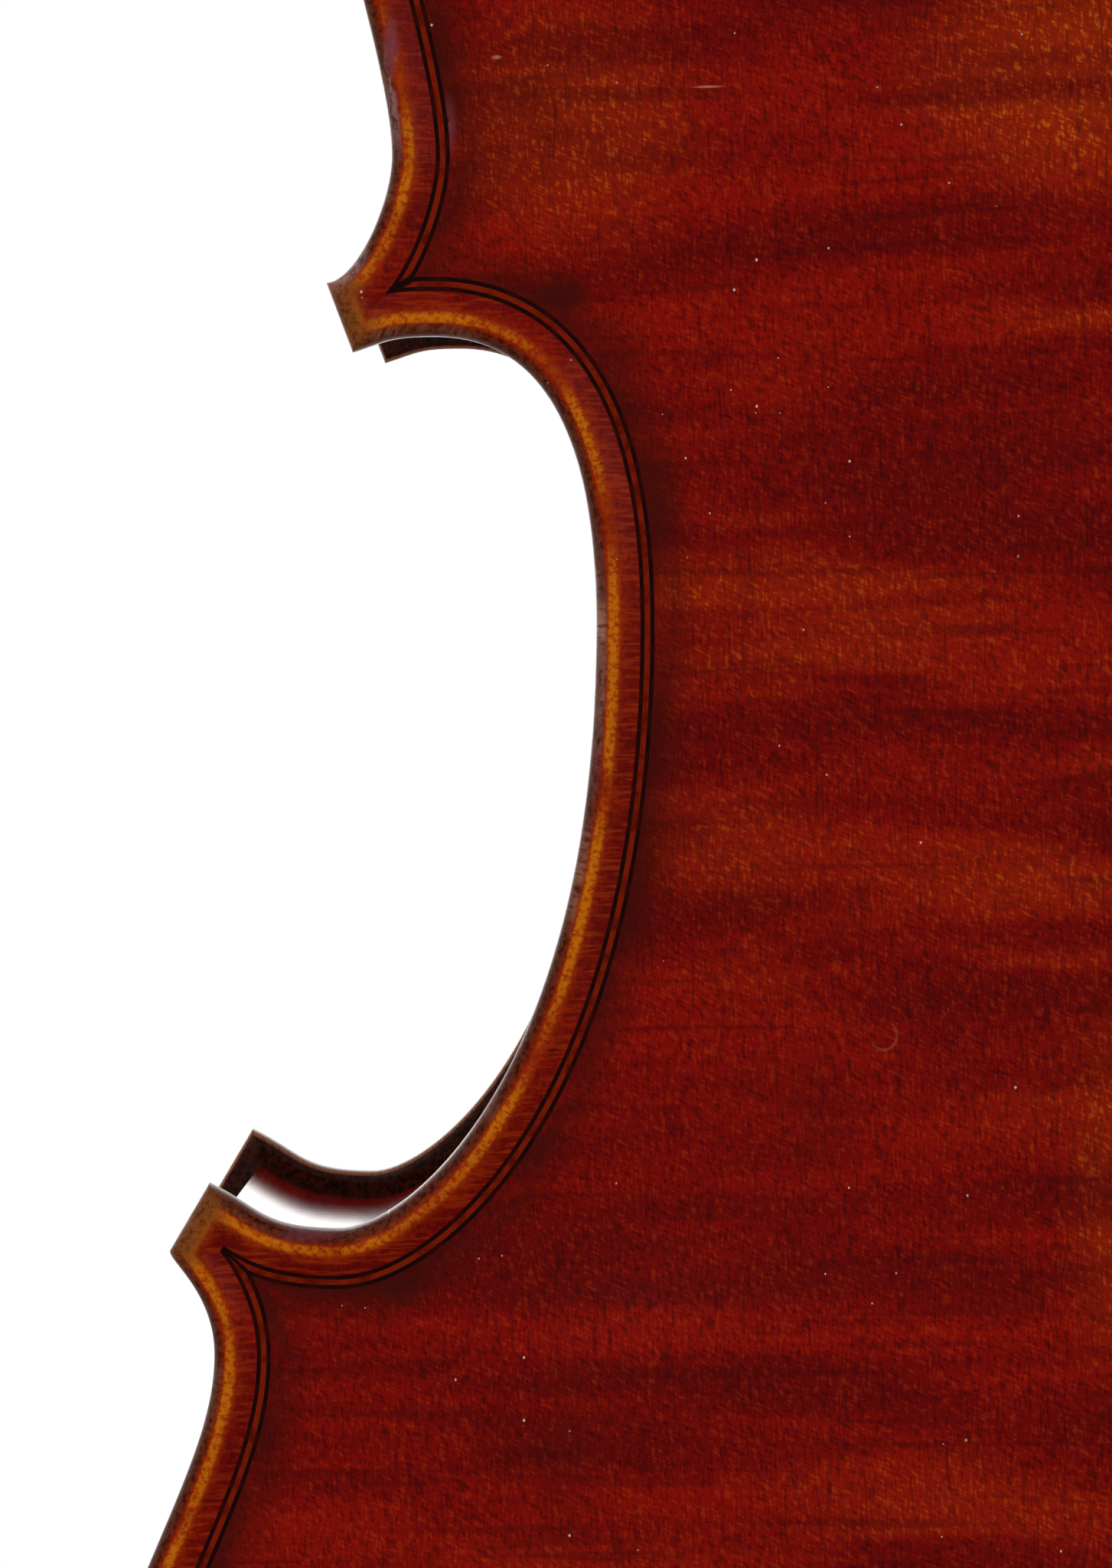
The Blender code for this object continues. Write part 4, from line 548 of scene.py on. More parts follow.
def edgeDistance(points):
    ring = wholeRing(0)[::2]
    step = np.roll(ring, -1, axis=0) - ring
    size = np.maximum((step**2).sum(axis=1), 1e-9)
    found = []
    for p in points:
        t = np.clip(((p - ring) * step).sum(axis=1) / size, 0, 1)
        found.append((((ring + t[:, None] * step) - p) ** 2).sum(axis=1).min())
    return np.sqrt(found)


def insideRows(ring, spacing):  # staggered rows of points inside a closed line
    after = np.roll(ring, -1, axis=0)
    found = []
    for k, z in enumerate(np.arange(ring[:, 1].min() + 1, ring[:, 1].max() - 1, spacing * 0.866)):
        hit = (ring[:, 1] - z) * (after[:, 1] - z) < 0
        share = (z - ring[hit, 1]) / (after[hit, 1] - ring[hit, 1])
        cuts = np.sort(ring[hit, 0] + share * (after[hit, 0] - ring[hit, 0]))
        xs = np.arange(-124, 124, spacing) + (k % 2) * spacing / 2
        found += [(x, z) for x in xs[np.searchsorted(cuts, xs) % 2 == 1]]
    return np.array(found)


def fillMiddle(bm, edge, side, height, distance, spacing, holes, finish):
    # closes a plate's middle with a net of triangles at the heights given
    layer = bm.verts.layers.float["edge"]
    flat = [Vector((v.co.x / mm, v.co.z / mm - outline["base"])) for v in edge]
    wanted = insideRows(np.array([tuple(p) for p in flat]), spacing)
    wanted = wanted[edgeDistance(wanted) > distance + 0.55 * spacing]
    for hole in holes:
        near = np.array([((hole - p) ** 2).sum(axis=1).min() for p in wanted])
        wanted = wanted[near > (0.45 * spacing) ** 2]
    points, faces = flatLoops([flat, *map(leftTurning, holes)])
    points += [Vector(p) for p in wanted]
    verts, _, triangles, _, _, origins = delaunay_2d_cdt(points, [], faces, 1, 1e-7)
    spots = np.array([tuple(v) for v in verts])
    known = {(round(p.x * 1e4), round(p.y * 1e4)): v for p, v in zip(flat, edge)}
    made = []
    for (x, z), h, d in zip(spots, height(*spots.T), edgeDistance(spots)):
        vert = known.get((round(x * 1e4), round(z * 1e4)))
        if vert is None:
            vert = bm.verts.new(onBody(x, side, h, z))
            vert[layer] = d
        made.append(vert)
    for triangle, origin in zip(triangles, origins):
        if max(origin) == 0:
            bm.faces.new([made[i] for i in triangle]).material_index = finish
    for vert in set(made):
        if not vert.link_faces:
            bm.verts.remove(vert)


def makePlate(name, side, archHeight, thickness, materials, slot, stands, holes=()):
    def outside(x, z):
        return plates["channel"] + archHeight * arch(x, z)

    def hollow(x, z):
        return np.maximum(outside(x, z) - thickness, 0.0)

    def ring(distance, height):
        loop = wholeRing(distance)
        heights = height(*loop.T) if callable(height) else np.full(len(loop), height)
        return [onBody(x, side, h, z) for (x, z), h in zip(loop, heights)]

    first, *_, last = plates["purfling"]
    (start, end), (hollowEdge, netEdge) = plates["groove"], plates["inside"]
    stations = [*edgeProfile, (first, start), (last, end), (last, outside), (6.6, outside), (netEdge, outside)]
    bm = bmesh.new()
    edges = [[distance] for distance, _ in stations]
    loops = skin(bm, [ring(*station) for station in stations], caps=False, edge=edges, around=ringLength)
    layer = bm.verts.layers.float["edge"]
    for face in bm.faces:  # the glued face is bare wood from the ribs inwards, as the hollow is
        flat = all(abs(v.co.y) < (plates["glue"] + 0.01) * mm and v[layer] > 3.1 for v in face.verts)
        face.material_index = int(flat)
    fillMiddle(bm, loops[-1], side, outside, netEdge, plates["grids"][1], holes, 0)
    fillMiddle(bm, loops[0], side, hollow, hollowEdge, plates["grids"][0], holes, 1)
    bmesh.ops.remove_doubles(bm, verts=bm.verts[:], dist=1e-7)
    for way in (-1, 1) if holes else ():
        rims = [e for e in bm.edges if len(e.link_faces) == 1 and e.verts[0][layer] > 9]
        rims = [e for e in rims if way * e.verts[0].co.x > 0]
        for face in bmesh.ops.bridge_loops(bm, edges=rims)["faces"]:
            face.material_index = 0
    finishPiece(name, bm, materials, slot, stands, angle=50, merge=0)


button = {
    "half": 11.0,
    "rise": 14.0,
    "root": 1.2,
    "step": 1.1,  # along the outline, from point to point
    "profile": (  # distance in from the rim, height, and the edge's colours to take
        (0.3, 0.02, 0.0), (0.05, 0.2, 0.2), (0.0, 0.6, 0.5), (0.0, 2.6, 0.8), (0.12, 3.3, 1.1),
        (0.4, 3.75, 1.5), (0.85, 4.0, 1.9), (1.5, 4.1, 2.6), (2.6, 4.05, 4.3), (4.5, 3.95, 7.0),
        (8.0, 3.9, 12.0),
    ),
}


def makeButton(material):
    # the button that grows out of the back's top edge, over the neck's heel
    half = button["half"]
    middle, low = outline["length"] + button["rise"] - half, outline["length"] - button["root"]
    side = [(half, z) for z in np.linspace(low, middle, 6)[:-1]]
    over = [(half * cos(a), middle + half * sin(a)) for a in np.linspace(0, pi, 41)]
    loop = side + over + [(-x, z) for x, z in side[::-1]]
    rings = []
    for inside, height, _ in button["profile"]:
        share = 1 - inside / half
        points = [(x * share, middle + max(z - middle, 0) * share + min(z - middle, 0)) for x, z in loop]
        rings.append([onBody(x, -1, height, z) for x, z in points])
    bm = bmesh.new()
    edges = [[edge] for _, _, edge in button["profile"]]
    skin(bm, rings, edge=edges, around=button["step"] * np.arange(len(loop)))
    finishPiece("backButton", bm, material, "varnished_maple", "back_plate", angle=50)


def makePurfling(name, side, start, end, material, stands, raised):
    # one layer of the purfling: a closed strip let into the groove
    foot, top, fall = plates["strip"]
    high, low = (top - fall * (d - plates["purfling"][0]) + raised for d in (start, end))
    rings = []
    for distance, height in ((start, foot), (start, high), (end, low), (end, foot), (start, foot)):
        rings.append([onBody(x, side, height, z) for x, z in wholeRing(distance)])
    bm = bmesh.new()
    skin(bm, rings, caps=False, edge=0.5 * (start + end), around=ringLength)
    finishPiece(name, bm, material, "purfling", *stands, merge=1e-7)


# the six ribs, bent strips that meet at the corners
ribs = {"overhang": 2.8, "thickness": 1.3, "rows": 4, "half": 18.5}


def makeRibs(material):
    outer = outlinePieces(ribs["overhang"])
    inner = outlinePieces(ribs["overhang"] + ribs["thickness"])
    lowTip, highTip = ([outer[k].mean(axis=0)] for k in (1, 3))
    bouts = ((0, "lower", [], lowTip), (2, "waist", lowTip, highTip), (4, "upper", highTip, []))
    half = plates["glue"] + 0.02
    for side, word in ((1, "bass"), (-1, "treble")):
        for k, bout, first, last in bouts:
            shares = np.linspace(0, 1, outline["counts"][k])
            out = np.array([*first, *resampled(outer[k], shares), *last])
            line = np.vstack([out, resampled(inner[k], shares)[::-1]])
            length = lengthsAlong(out)
            back = np.interp(np.linspace(1, 0, len(shares)), np.linspace(0, 1, len(out)), length)
            rings = []
            for y in np.linspace(-half, half, ribs["rows"] + 1):
                rings.append([(side * x * mm, y * mm, (outline["base"] + z) * mm) for x, z in line])
            bm = bmesh.new()
            skin(bm, rings, along=np.concatenate([length, back]))
            finishPiece(f"{bout}Rib_{word}", bm, material, "varnished_maple", f"rib_{bout}_{word}",
                        angle=30, merge=0)


varnish = {
    "deep": shade(106, 6, 2),
    "red": shade(140, 12, 3),
    "fleck": shade(172, 52, 10),  # where the curl throws the light back
    "flame": shade(176, 58, 9),
    "bright": shade(214, 112, 26),
    # also the painted shade in the channel just inside the purfling
    "thick": shade(66, 14, 4),  # where the varnish gathers
    "side": shade(100, 46, 22),
    # painted sheen on the rounded side and along the rim
    "paintedSideSheen": shade(158, 104, 78),
    "gold": shade(206, 112, 14),  # worn through on the edge's crest
    "tan": shade(132, 76, 32),  # the corners' worn ends
    "under": shade(66, 30, 20),  # below the overhang
    "black": shade(30, 8, 5),
    "channel": shade(112, 18, 6),
    "hole": (0.004, 0.002, 0.002),
    "line": 1.95,  # the worn crest's distance in from the outline, mm
    "cornerReach": (6.6, 3.6),  # how far the wear at a corner spreads along the outline, mm
    "flameSize": (24, 170),  # flames to a metre, across and along the grain
    "dust": 0.962,  # share of the places that hold no speck
    "spots": {  # on the back: across, up, half width, half height in mm, strength
        # partly lighter wood and partly painted highlight
        "glowAndPaintedHighlight": ((-19, 288, 16, 12, 0.7), (-68, 284, 14, 13, 0.5), (-14, 180, 5, 19, 0.45),
                 (-51, 212, 12, 7, 0.3)),
        "dark": ((-68.3, 267.2, 2.8, 2.2, 0.75), (-57.9, 247, 2.2, 5.5, 0.5), (-84.5, 167, 2.8, 1.8, 0.7),
                 (-64, 262, 5, 4, 0.3)),
        "sheen": ((-85.4, 291.8, 0.8, 3.0, 0.7), (-69.0, 250, 0.7, 4.2, 0.5), (-94, 172.6, 3.4, 0.8, 0.5),
                  (-79.8, 284, 0.9, 3, 0.45)),
        # painted highlights on the rounded outer side
        "paintedSideHighlight": ((-90.5, 272.5, 2.6, 4.6, 1.0), (-84.5, 290, 1.6, 9, 0.5), (-64.8, 228, 1.6, 16, 0.12)),
        "dusty": ((-48, 256, 14, 22, 1.0),),
        "nick": ((-79.9, 284.6, 0.34, 0.38, 1.0),),
        "scratch": ((-53.8, 287.5, 1.5, 0.12, 0.6), (-74.9, 290.8, 0.5, 0.22, 0.5),
                    (-75.5, 253, 0.12, 2.2, 0.25)),
    },
    "ring": (-36.2, 193.9, 1.35, 1.5),
    "handle": (0.452, 0.556),  # the bare part of the neck, metres up
}
# where the four corners lie along the outline
lowerCount, _, waistCount, _, _ = outline["counts"]
cornerPlaces = [ringLength[k] for k in (lowerCount + 1, lowerCount + waistCount + 4)]
cornerPlaces += [2 * ringLength[len(halfRing(0)) - 1] - place for place in cornerPlaces]


def grainPlace(kind):
    # across, through and along the grain, in metres
    if kind == "neck":
        return ownPlace()
    x, y, z = apart(ownPlace())
    if kind == "rib":
        return together(y, 0.0, times(attribute("along"), mm))
    return together(calc("ABSOLUTE", x), y, z)  # two matched halves


def fromSpot(x, z, wide, high):
    # how far a point is from an oval's middle, 1 at its rim
    return lengthOf(placed(ownPlace(), (1 / mm / wide, 0, 1 / mm / high), move=(-x / wide, 0, -z / high)))


def spotShare(kind, soft=1.3):
    total = 0.0
    for *spot, strength in varnish["spots"][kind]:
        total = calc("MAXIMUM", total, remap(fromSpot(*spot), soft, 0.25, 0, strength))
    return total


def flamedMaple(name, kind, shine, coat, coatRoughness=0.09):
    newMaterial(name, Roughness=0.34, Specular_IOR_Level=shine, Coat_Weight=coat, Coat_Roughness=coatRoughness)
    deep, (across, along) = varnish["deep"], varnish["flameSize"]
    where = placed(grainPlace(kind), turn=(0, radians(-2.5), 0))
    broad = noise(where, (across, across, along), 3, distort=0.3)
    region = noise(where, (18, 18, 24))
    colour = tint(remap(broad, 0.32, 0.66), deep, varnish["red"])
    # wood that glows through in some flames, and on the back a few spots that are partly lighter wood and partly
    # painted highlight
    lit = times(remap(broad, 0.44, 0.66), remap(region, 0.46, 0.66, 0.06, 0.4))
    if kind == "back":
        # the back's spots of lighter wood and painted highlight
        lit = calc("MAXIMUM", lit, times(spotShare("glowAndPaintedHighlight"), remap(broad, 0.33, 0.58, 0.25, 1.0)))
    # fine hairs up the grain, and the curl's ripples across them
    hairs = noise(where, (3300, 500, 900), distort=0.3)
    ripples = noise(placed(where, turn=(0, radians(28), 0)), (900, 400, 3100), distort=0.5)
    strands = times(plus(hairs, ripples), 0.5)
    colour = tint(times(remap(strands, 0.485, 0.38), 0.72), colour, darker(deep, 0.35))
    flecked = times(remap(strands, 0.52, 0.66, 0, 0.85), calc("ADD", lit, 0.46, clamp=True))
    colour = tint(times(lit, 0.55), colour, varnish["flame"])
    colour = tint(flecked, colour, tint(lit, varnish["fleck"], varnish["bright"]))
    thin = noise(where, (30, 30, 560), distort=0.4, move=(1.7, 0, 0))
    colour = tint(times(remap(thin, 0.42, 0.3), 0.4), colour, darker(deep, 0.5))
    pores = noise(where, (2300, 500, 190), 1, move=(3.1, 0, 7.7))
    colour = tint(times(remap(pores, 0.6, 0.72), 0.35), colour, darker(deep, 0.2))
    return colour, plus(strands, times(broad, 0.5))


def fromCorner(around):  # mm along the outline to the nearest corner
    away = 1000.0
    for place in cornerPlaces:
        away = calc("MINIMUM", away, calc("ABSOLUTE", calc("SUBTRACT", around, place)))
    return away


def withEdge(colour, height):
    # the edge's colours, by the distance in from the outline and the way round it
    edge, around, line = attribute("edge"), attribute("around"), varnish["line"]
    across = together(around, times(edge, 0.35))
    streaks = noise(across, (2.4, 1.6, 1), 3, 0.6)
    patches = noise(across, (0.08, 0.4, 1))
    fine = noise(ownPlace(), 1700, 3, 0.65)

    def patchy(low, high):
        return remap(patches, 0.3, 0.6, low, high)

    # darker just inside the purfling: painted shade of the channel's hollow, in patches where the varnish gathers
    wood, thick = colour, varnish["thick"]
    colour = tint(times(remap(edge, 11.5, 5.8), patchy(0.3, 0.85)), colour, thick)
    channel = tint(remap(streaks, 0.34, 0.68), varnish["channel"], varnish["deep"])
    channel = tint(remap(patches, 0.35, 0.6, 0.25, 0.7), wood, channel)
    channel = tint(remap(fine, 0.52, 0.66, 0, 0.5), channel, thick)
    hairs = noise(ownPlace(), (330, 330, 3000))
    channel = tint(times(remap(hairs, 0.46, 0.68), patchy(0.2, 0.48)), channel, varnish["flame"])
    colour = tint(remap(edge, 5.9, 5.6), colour, channel)
    # warmer on both sides of the worn crest
    halo = times(remap(edge, line + 1.9, line + 0.3), patchy(0.15, 0.6), remap(fine, 0.34, 0.6, 1.0, 0.25))
    colour = tint(halo, colour, varnish["flame"])
    # near a corner's middle line along the outline, 1 at the corner
    corner = remap(fromCorner(around), *varnish["cornerReach"])
    # the worn crest: golden, feathered inwards, with small dark flecks across it
    wander = plus(times(streaks, 0.5), times(patches, 0.7))
    crest = plus(edge, calc("SUBTRACT", wander, 0.6))
    bare = times(remap(crest, line + 0.98, line + 0.08), remap(crest, line - 0.9, line - 0.35),
                 remap(patches, 0.3, 0.58, 0.4, 1.0), remap(fine, 0.35, 0.58, 0.45, 1.0))
    gold = tint(remap(bare, 0.25, 0.8), varnish["flame"], varnish["gold"])
    gold = tint(times(remap(streaks, 0.56, 0.7), 0.75), gold, thick)
    colour = tint(bare, colour, gold)
    # the rounded outside, with patches of painted sheen
    outer = remap(edge, 1.35, 0.8)
    side = tint(remap(fine, 0.42, 0.62), varnish["side"], thick)
    side = tint(times(remap(patches, 0.5, 0.68), remap(streaks, 0.35, 0.6)), side, varnish["paintedSideSheen"])
    colour = tint(outer, colour, side)
    # the corners' ends
    end = times(corner, remap(crest, 3.4, 1.4), remap(fine, 0.25, 0.5, 0.55, 0.95))
    colour = tint(end, colour, tint(remap(fine, 0.42, 0.62), varnish["tan"], varnish["side"]))
    # the face under the overhang, and a painted sheen along the rim that it meets
    deep, glue = calc("ABSOLUTE", apart(ownPlace())[1]), plates["glue"] * mm
    rim = times(remap(deep, glue + 0.0012, glue + 0.0005), remap(edge, 0.5, 0.2))
    colour = tint(times(rim, remap(streaks, 0.3, 0.6, 0.3, 0.9)), colour, varnish["paintedSideSheen"])
    below = times(remap(deep, glue + 0.0004, glue + 0.0001), remap(edge, 0.1, 0.5))
    colour = tint(below, colour, tint(remap(fine, 0.35, 0.65), varnish["under"], varnish["black"]))
    return colour, plus(height, times(outer, fine, 0.8))


def varnishedBack():
    colour, height = flamedMaple("varnished flamed maple", "back", 0.025, 0.04)
    place = ownPlace()
    x, _, z = apart(place)
    # a thin dark line where the two halves are joined
    colour = tint(remap(calc("ABSOLUTE", x), 0.00022, 0.0001, 0, 0.7), colour, (0.015, 0.004, 0.002))
    patch = remap(noise(place, (42, 42, 30), 3), 0.56, 0.72, 0, 0.3)
    colour = tint(calc("MAXIMUM", patch, spotShare("dark")), colour, varnish["thick"])
    colour, height = withEdge(colour, height)
    # painted dull reflections, painted speckled highlights on the rounded side, a small hole, scratches and a faint
    # ring
    colour = tint(spotShare("sheen"), colour, shade(122, 66, 74))
    # speckled painted highlights along the rounded outer side
    paintedSideHighlight = times(spotShare("paintedSideHighlight"), remap(attribute("edge"), 1.5, 0.8))
    speckled = noise(place, (1500, 1500, 900), 3, 0.7)
    colour = tint(times(paintedSideHighlight, remap(speckled, 0.36, 0.56)), colour, shade(204, 160, 158))
    colour = tint(spotShare("nick", 1.1), colour, varnish["hole"])
    colour = tint(spotShare("scratch"), colour, shade(206, 150, 120))
    off = calc("ABSOLUTE", calc("SUBTRACT", fromSpot(*varnish["ring"]), 1.0))
    ring = times(remap(off, 0.16, 0.05, 0, 0.3), remap(noise(place, 520, 1), 0.42, 0.6))
    colour = tint(ring, colour, shade(196, 92, 50))
    # specks of dust
    cells = {"Vector": together(x, times(z, 0.8)), "Scale": 430.0}
    cells = addNode("TexVoronoi", cells, voronoi_dimensions="2D").outputs
    chosen, size, _ = addNode("SeparateColor", {0: cells["Color"]}).outputs
    speck = remap(plus(cells["Distance"], times(size, 0.035)), 0.066, 0.034)
    chosen = plus(chosen, times(spotShare("dusty"), 0.12))
    speck = times(speck, remap(chosen, varnish["dust"], varnish["dust"] + 0.01))
    colour = tint(times(speck, 0.85), colour, shade(235, 205, 190))
    return finished(colour, height, 0.25, roughness=remap(noise(place, 130, 3), 0.3, 0.7, 0.28, 0.42))


def varnishedRibs():
    colour, height = flamedMaple("varnished rib maple", "rib", 0.04, 0.8, 0.15)
    return finished(colour, height, 0.2, roughness=remap(height, 0.5, 1.0, 0.14, 0.26))


def varnishedNeck():
    # the handle is oiled wood without varnish, which fades in at the heel and at the pegbox
    colour, height = flamedMaple("varnished neck maple", "neck", 0.06, 0.12)
    place = ownPlace()
    up = plus(apart(place)[2], times(noise(place, 60, 3), 0.012))
    low, high = varnish["handle"]
    bare = times(remap(up, low, low + 0.012), remap(up, high, high - 0.012))
    wood = tint(remap(noise(place, (24, 24, 170), 3), 0.35, 0.65), shade(150, 92, 44), shade(190, 132, 72))
    wood = tint(remap(noise(place, (1500, 1500, 40), 3), 0.52, 0.7, 0, 0.6), wood, shade(112, 62, 28))
    return finished(tint(bare, colour, wood), height, 0.2, roughness=remap(bare, 0, 1, 0.34, 0.48))


def varnishedSpruce():
    newMaterial("varnished spruce", Roughness=0.34, Specular_IOR_Level=0.03, Coat_Weight=0.05,
                Coat_Roughness=0.09)
    place = ownPlace()
    # year rings run up the belly, closer together in the middle
    drift = noise(place, (30, 1, 6))
    rings = {"Vector": placed(place, (1, 0.02, 0.012)), "Scale": 260.0, "Distortion": 1.6, "Detail": 2.0,
             "Detail Scale": 0.6, "Detail Roughness": 0.5}
    wave = addNode("TexWave", rings, wave_type="BANDS", bands_direction="X", wave_profile="SAW").outputs["Fac"]
    late = remap(wave, 0.5, 1.0)
    fibres = noise(place, (2400, 400, 60), 3)
    colour = tint(remap(drift, 0.35, 0.65), shade(168, 54, 12), shade(142, 34, 8))
    colour = tint(times(late, remap(drift, 0.3, 0.7, 0.45, 0.9)), colour, shade(88, 14, 4))
    colour = tint(remap(fibres, 0.52, 0.66, 0, 0.5), colour, shade(200, 92, 24))
    colour = tint(remap(fibres, 0.46, 0.36, 0, 0.5), colour, shade(70, 12, 4))
    colour = tint(remap(noise(place, (28, 28, 20), 3), 0.5, 0.72, 0, 0.5), colour, shade(84, 16, 5))
    colour, height = withEdge(colour, times(fibres, 0.5))
    return finished(colour, plus(height, times(late, 0.4)), 0.25)


def bareWood(name, pale, dark, across=900, along=18, roughness=0.62):
    newMaterial(name, Roughness=roughness, Specular_IOR_Level=0.3)
    place, dark = ownPlace(), shade(*dark)
    fibres = noise(place, (across, across, along), 3)
    colour = tint(remap(fibres, 0.35, 0.68, 0, 0.8), shade(*pale), dark)
    colour = tint(remap(noise(place, (60, 60, 8)), 0.4, 0.7, 0, 0.35), colour, dark)
    return finished(colour, fibres, 0.3, roughness=remap(fibres, 0.3, 0.7, roughness - 0.07, roughness + 0.1))


def purflingLayer(name, plain, warmer, share):
    newMaterial(name, Roughness=0.34, Specular_IOR_Level=0.03)
    fibres = noise(ownPlace(), 700)
    colour = tint(remap(fibres, 0.4, 0.7, 0, share), shade(*plain), shade(*warmer))
    # the stings at the corners are black
    colour = tint(remap(fromCorner(attribute("around")), 5.0, 4.2), colour, varnish["black"])
    colour = tint(spotShare("nick", 1.1), colour, varnish["hole"])
    return finished(colour, fibres, 0.2, 0.08, remap(fibres, 0.3, 0.7, 0.26, 0.4))


def polishedEbony():
    newMaterial("polished ebony", Roughness=0.3, Specular_IOR_Level=0.2)
    place = ownPlace()
    fibres = noise(place, (1500, 1500, 40), 3)
    colour = tint(remap(fibres, 0.4, 0.7), shade(22, 19, 18), shade(46, 38, 33))
    colour = tint(remap(noise(place, (160, 160, 9)), 0.55, 0.75, 0, 0.5), colour, shade(66, 50, 38))
    return finished(colour, fibres, 0.25, 0.08, remap(fibres, 0.3, 0.7, 0.24, 0.42))


def metal(name, tone, roughness, ridges=0.0):
    newMaterial(name, Metallic=1.0, Roughness=roughness)
    place = ownPlace()
    colour = tint(remap(noise(place, 240, 3), 0.4, 0.75, 0, 0.7), tone, darker(tone, 0.62))
    height, strength = noise(place, (2600, 300, 2600)), 0.08
    dull = remap(height, 0.3, 0.7, roughness - 0.06, roughness + 0.1)
    if ridges:  # a flat wire wound close along a string
        turns = calc("SINE", times(attribute("along"), 2 * pi / ridges))
        height, strength = plus(turns, times(height, 0.2)), 0.5
    return finished(colour, height, strength, 0.06, dull)


def wornCord():
    newMaterial("tail cord", Roughness=0.5, Specular_IOR_Level=0.4)
    twist = calc("SINE", times(attribute("along"), 5.2))
    fuzz = noise(ownPlace(), 1500)
    colour = tint(remap(fuzz, 0.35, 0.7), shade(24, 23, 22), shade(56, 52, 48))
    return finished(colour, plus(times(twist, 0.4), fuzz), 0.4)


bareMaple = bareWood("bare maple inside", (205, 164, 110), (160, 112, 66))
bareSpruce = bareWood("bare spruce", (212, 176, 122), (164, 118, 72), 700, 9)
willow = bareWood("bare willow", (206, 172, 122), (170, 128, 84), 500, 14)
backVarnish, ribVarnish = varnishedBack(), varnishedRibs()
bellyVarnish, neckVarnish = varnishedSpruce(), varnishedNeck()
blackLayer = purflingLayer("purfling, dyed black", (30, 8, 5), (60, 16, 8), 0.6)
paleLayer = purflingLayer("purfling, maple under varnish", (128, 34, 8), (84, 14, 5), 0.8)
ebony = polishedEbony()
bridgeWood = bareWood("bridge maple", (214, 172, 116), (176, 122, 74), 1600, 60, 0.5)
woundSteel = metal("wound steel", (0.66, 0.65, 0.63), 0.26, ridges=0.24)
nickel = metal("nickel", (0.74, 0.73, 0.70), 0.2)
tailCord = wornCord()
silkColours = (((120, 20, 28), (70, 10, 16)), ((28, 60, 120), (14, 32, 70)),
               ((30, 96, 60), (14, 54, 32)), ((176, 140, 48), (120, 88, 24)))
silks = [bareWood(f"silk wrap {k + 1}", *colours, 900, 900, 0.6) for k, colours in enumerate(silkColours)]
print("woods and metals mixed")


# the back with its purfling, the belly with its sound holes, and the ribs
soundHoles = {
    "bridge": 186.0,  # height of the bridge line over the body's bottom edge
    "upperEye": (27.5, 31.0, 3.8),  # across, over the bridge line, radius
    "lowerEye": (57.5, -33.0, 5.0),
    "stem": 6.8,
    "nick": (4.6, 1.1),
}


def soundHole():
    (ux, uz, _), (lx, lz, _) = eyes = soundHoles["upperEye"], soundHoles["lowerEye"]
    middle = (ux + lx) / 2
    over, under = (ux + 5.5, uz + 8.5), (lx - 6.5, lz - 9.0)
    line = chain(
        bezier((ux, uz + 3), (ux, uz + 7), (over[0] - 3, over[1]), over, 12),
        bezier(over, (over[0] + 7, over[1]), (middle, 12), (middle, 0), 20),
        bezier((middle, 0), (middle, -12), (under[0] - 8, under[1]), under, 20),
        bezier(under, (under[0] + 4, under[1]), (lx, lz - 8), (lx, lz - 4), 12),
    )
    half = soundHoles["stem"] / 2 * (0.28 + 0.72 * np.sin(pi * np.linspace(0, 1, len(line))) ** 0.8)
    left, right = inwards(line, 1.0) - line, inwards(line, -1.0) - line
    stem = np.vstack([line + left * half[:, None], (line + right * half[:, None])[::-1]])
    wide, high = soundHoles["nick"]
    nick = np.array([(middle - wide, 0.0), (middle, high), (middle + wide, 0.0), (middle, -high)])
    rounds = [circle(28) * r + (x, z) for x, z, r in eyes]
    return [loop + (0, soundHoles["bridge"]) for loop in (stem, nick, *rounds)]


def makeBody():
    makePlate("back", -1, plates["backArch"], plates["backThickness"], [backVarnish, bareMaple],
              "varnished_maple", "back_plate")
    makeButton(backVarnish)
    holes = [loop * (side, 1) for side in (-1, 1) for loop in soundHole()]
    makePlate("belly", 1, plates["bellyArch"], plates["bellyThickness"], [bellyVarnish, bareSpruce],
              "varnished_spruce", "top_plate", holes)
    bellyNodes = ["purfling_top_bass", "purfling_top_treble"]
    layers = (("Outer", blackLayer, 0.015), ("Middle", paleLayer, 0.01), ("Inner", blackLayer, 0.015))
    for part, side, stands in (("back", -1, ["purfling_back"]), ("belly", 1, bellyNodes)):
        for k, (word, material, raised) in enumerate(layers):
            start, end = plates["purfling"][k : k + 2]
            makePurfling(f"{part}Purfling{word}", side, start, end, material, stands, raised)
    makeRibs(ribVarnish)


makeBody()
print("body made")


# the neck, the pegbox and the scroll, by distances up from the nut and out from the board's glued face
neck = {
    "length": 148.0,
    "slope": 7.2,  # degrees
    "overstand": 6.5,
    "depths": (13.0, 15.0),  # at the nut, at the body
    "heel": (33.0, 22.0),  # widths at the belly and at the button
    "button": 14.0,
    "mortise": 5.0,
    "sides": 36,
}
pegbox = {
    "front": ((0, 1.5), (14, 0), (34, -4.5), (56, -10.5), (74, -14.5), (84, -17)),
    "back": ((0, -19), (14, -24.5), (34, -29.5), (56, -33.5), (74, -36), (84, -37.5)),
    "half": ((0, 13.2), (14, 13), (34, 12.3), (56, 11.3), (74, 10.4), (84, 9.8)),
    "wall": 5.0,
    "trough": (7.2, 77.0),
    "corner": 4.0,
}
scroll = {
    "centre": (95.0, -17.0),
    "radius": 23.0,
    "eye": 43.0,
    "steps": 96,  # to a turn
    "turns": (-90, 0, 90, 170, 270, 360, 450, 540, 630, 720, 810),
    "widths": (9.4, 9.0, 8.0, 7.4, 8.2, 10.2, 12.6, 15.0, 17.4, 19.6, 21.5),
    "flute": 1.0,
    "scoop": 1.1,
    "chamfer": 0.55,
}
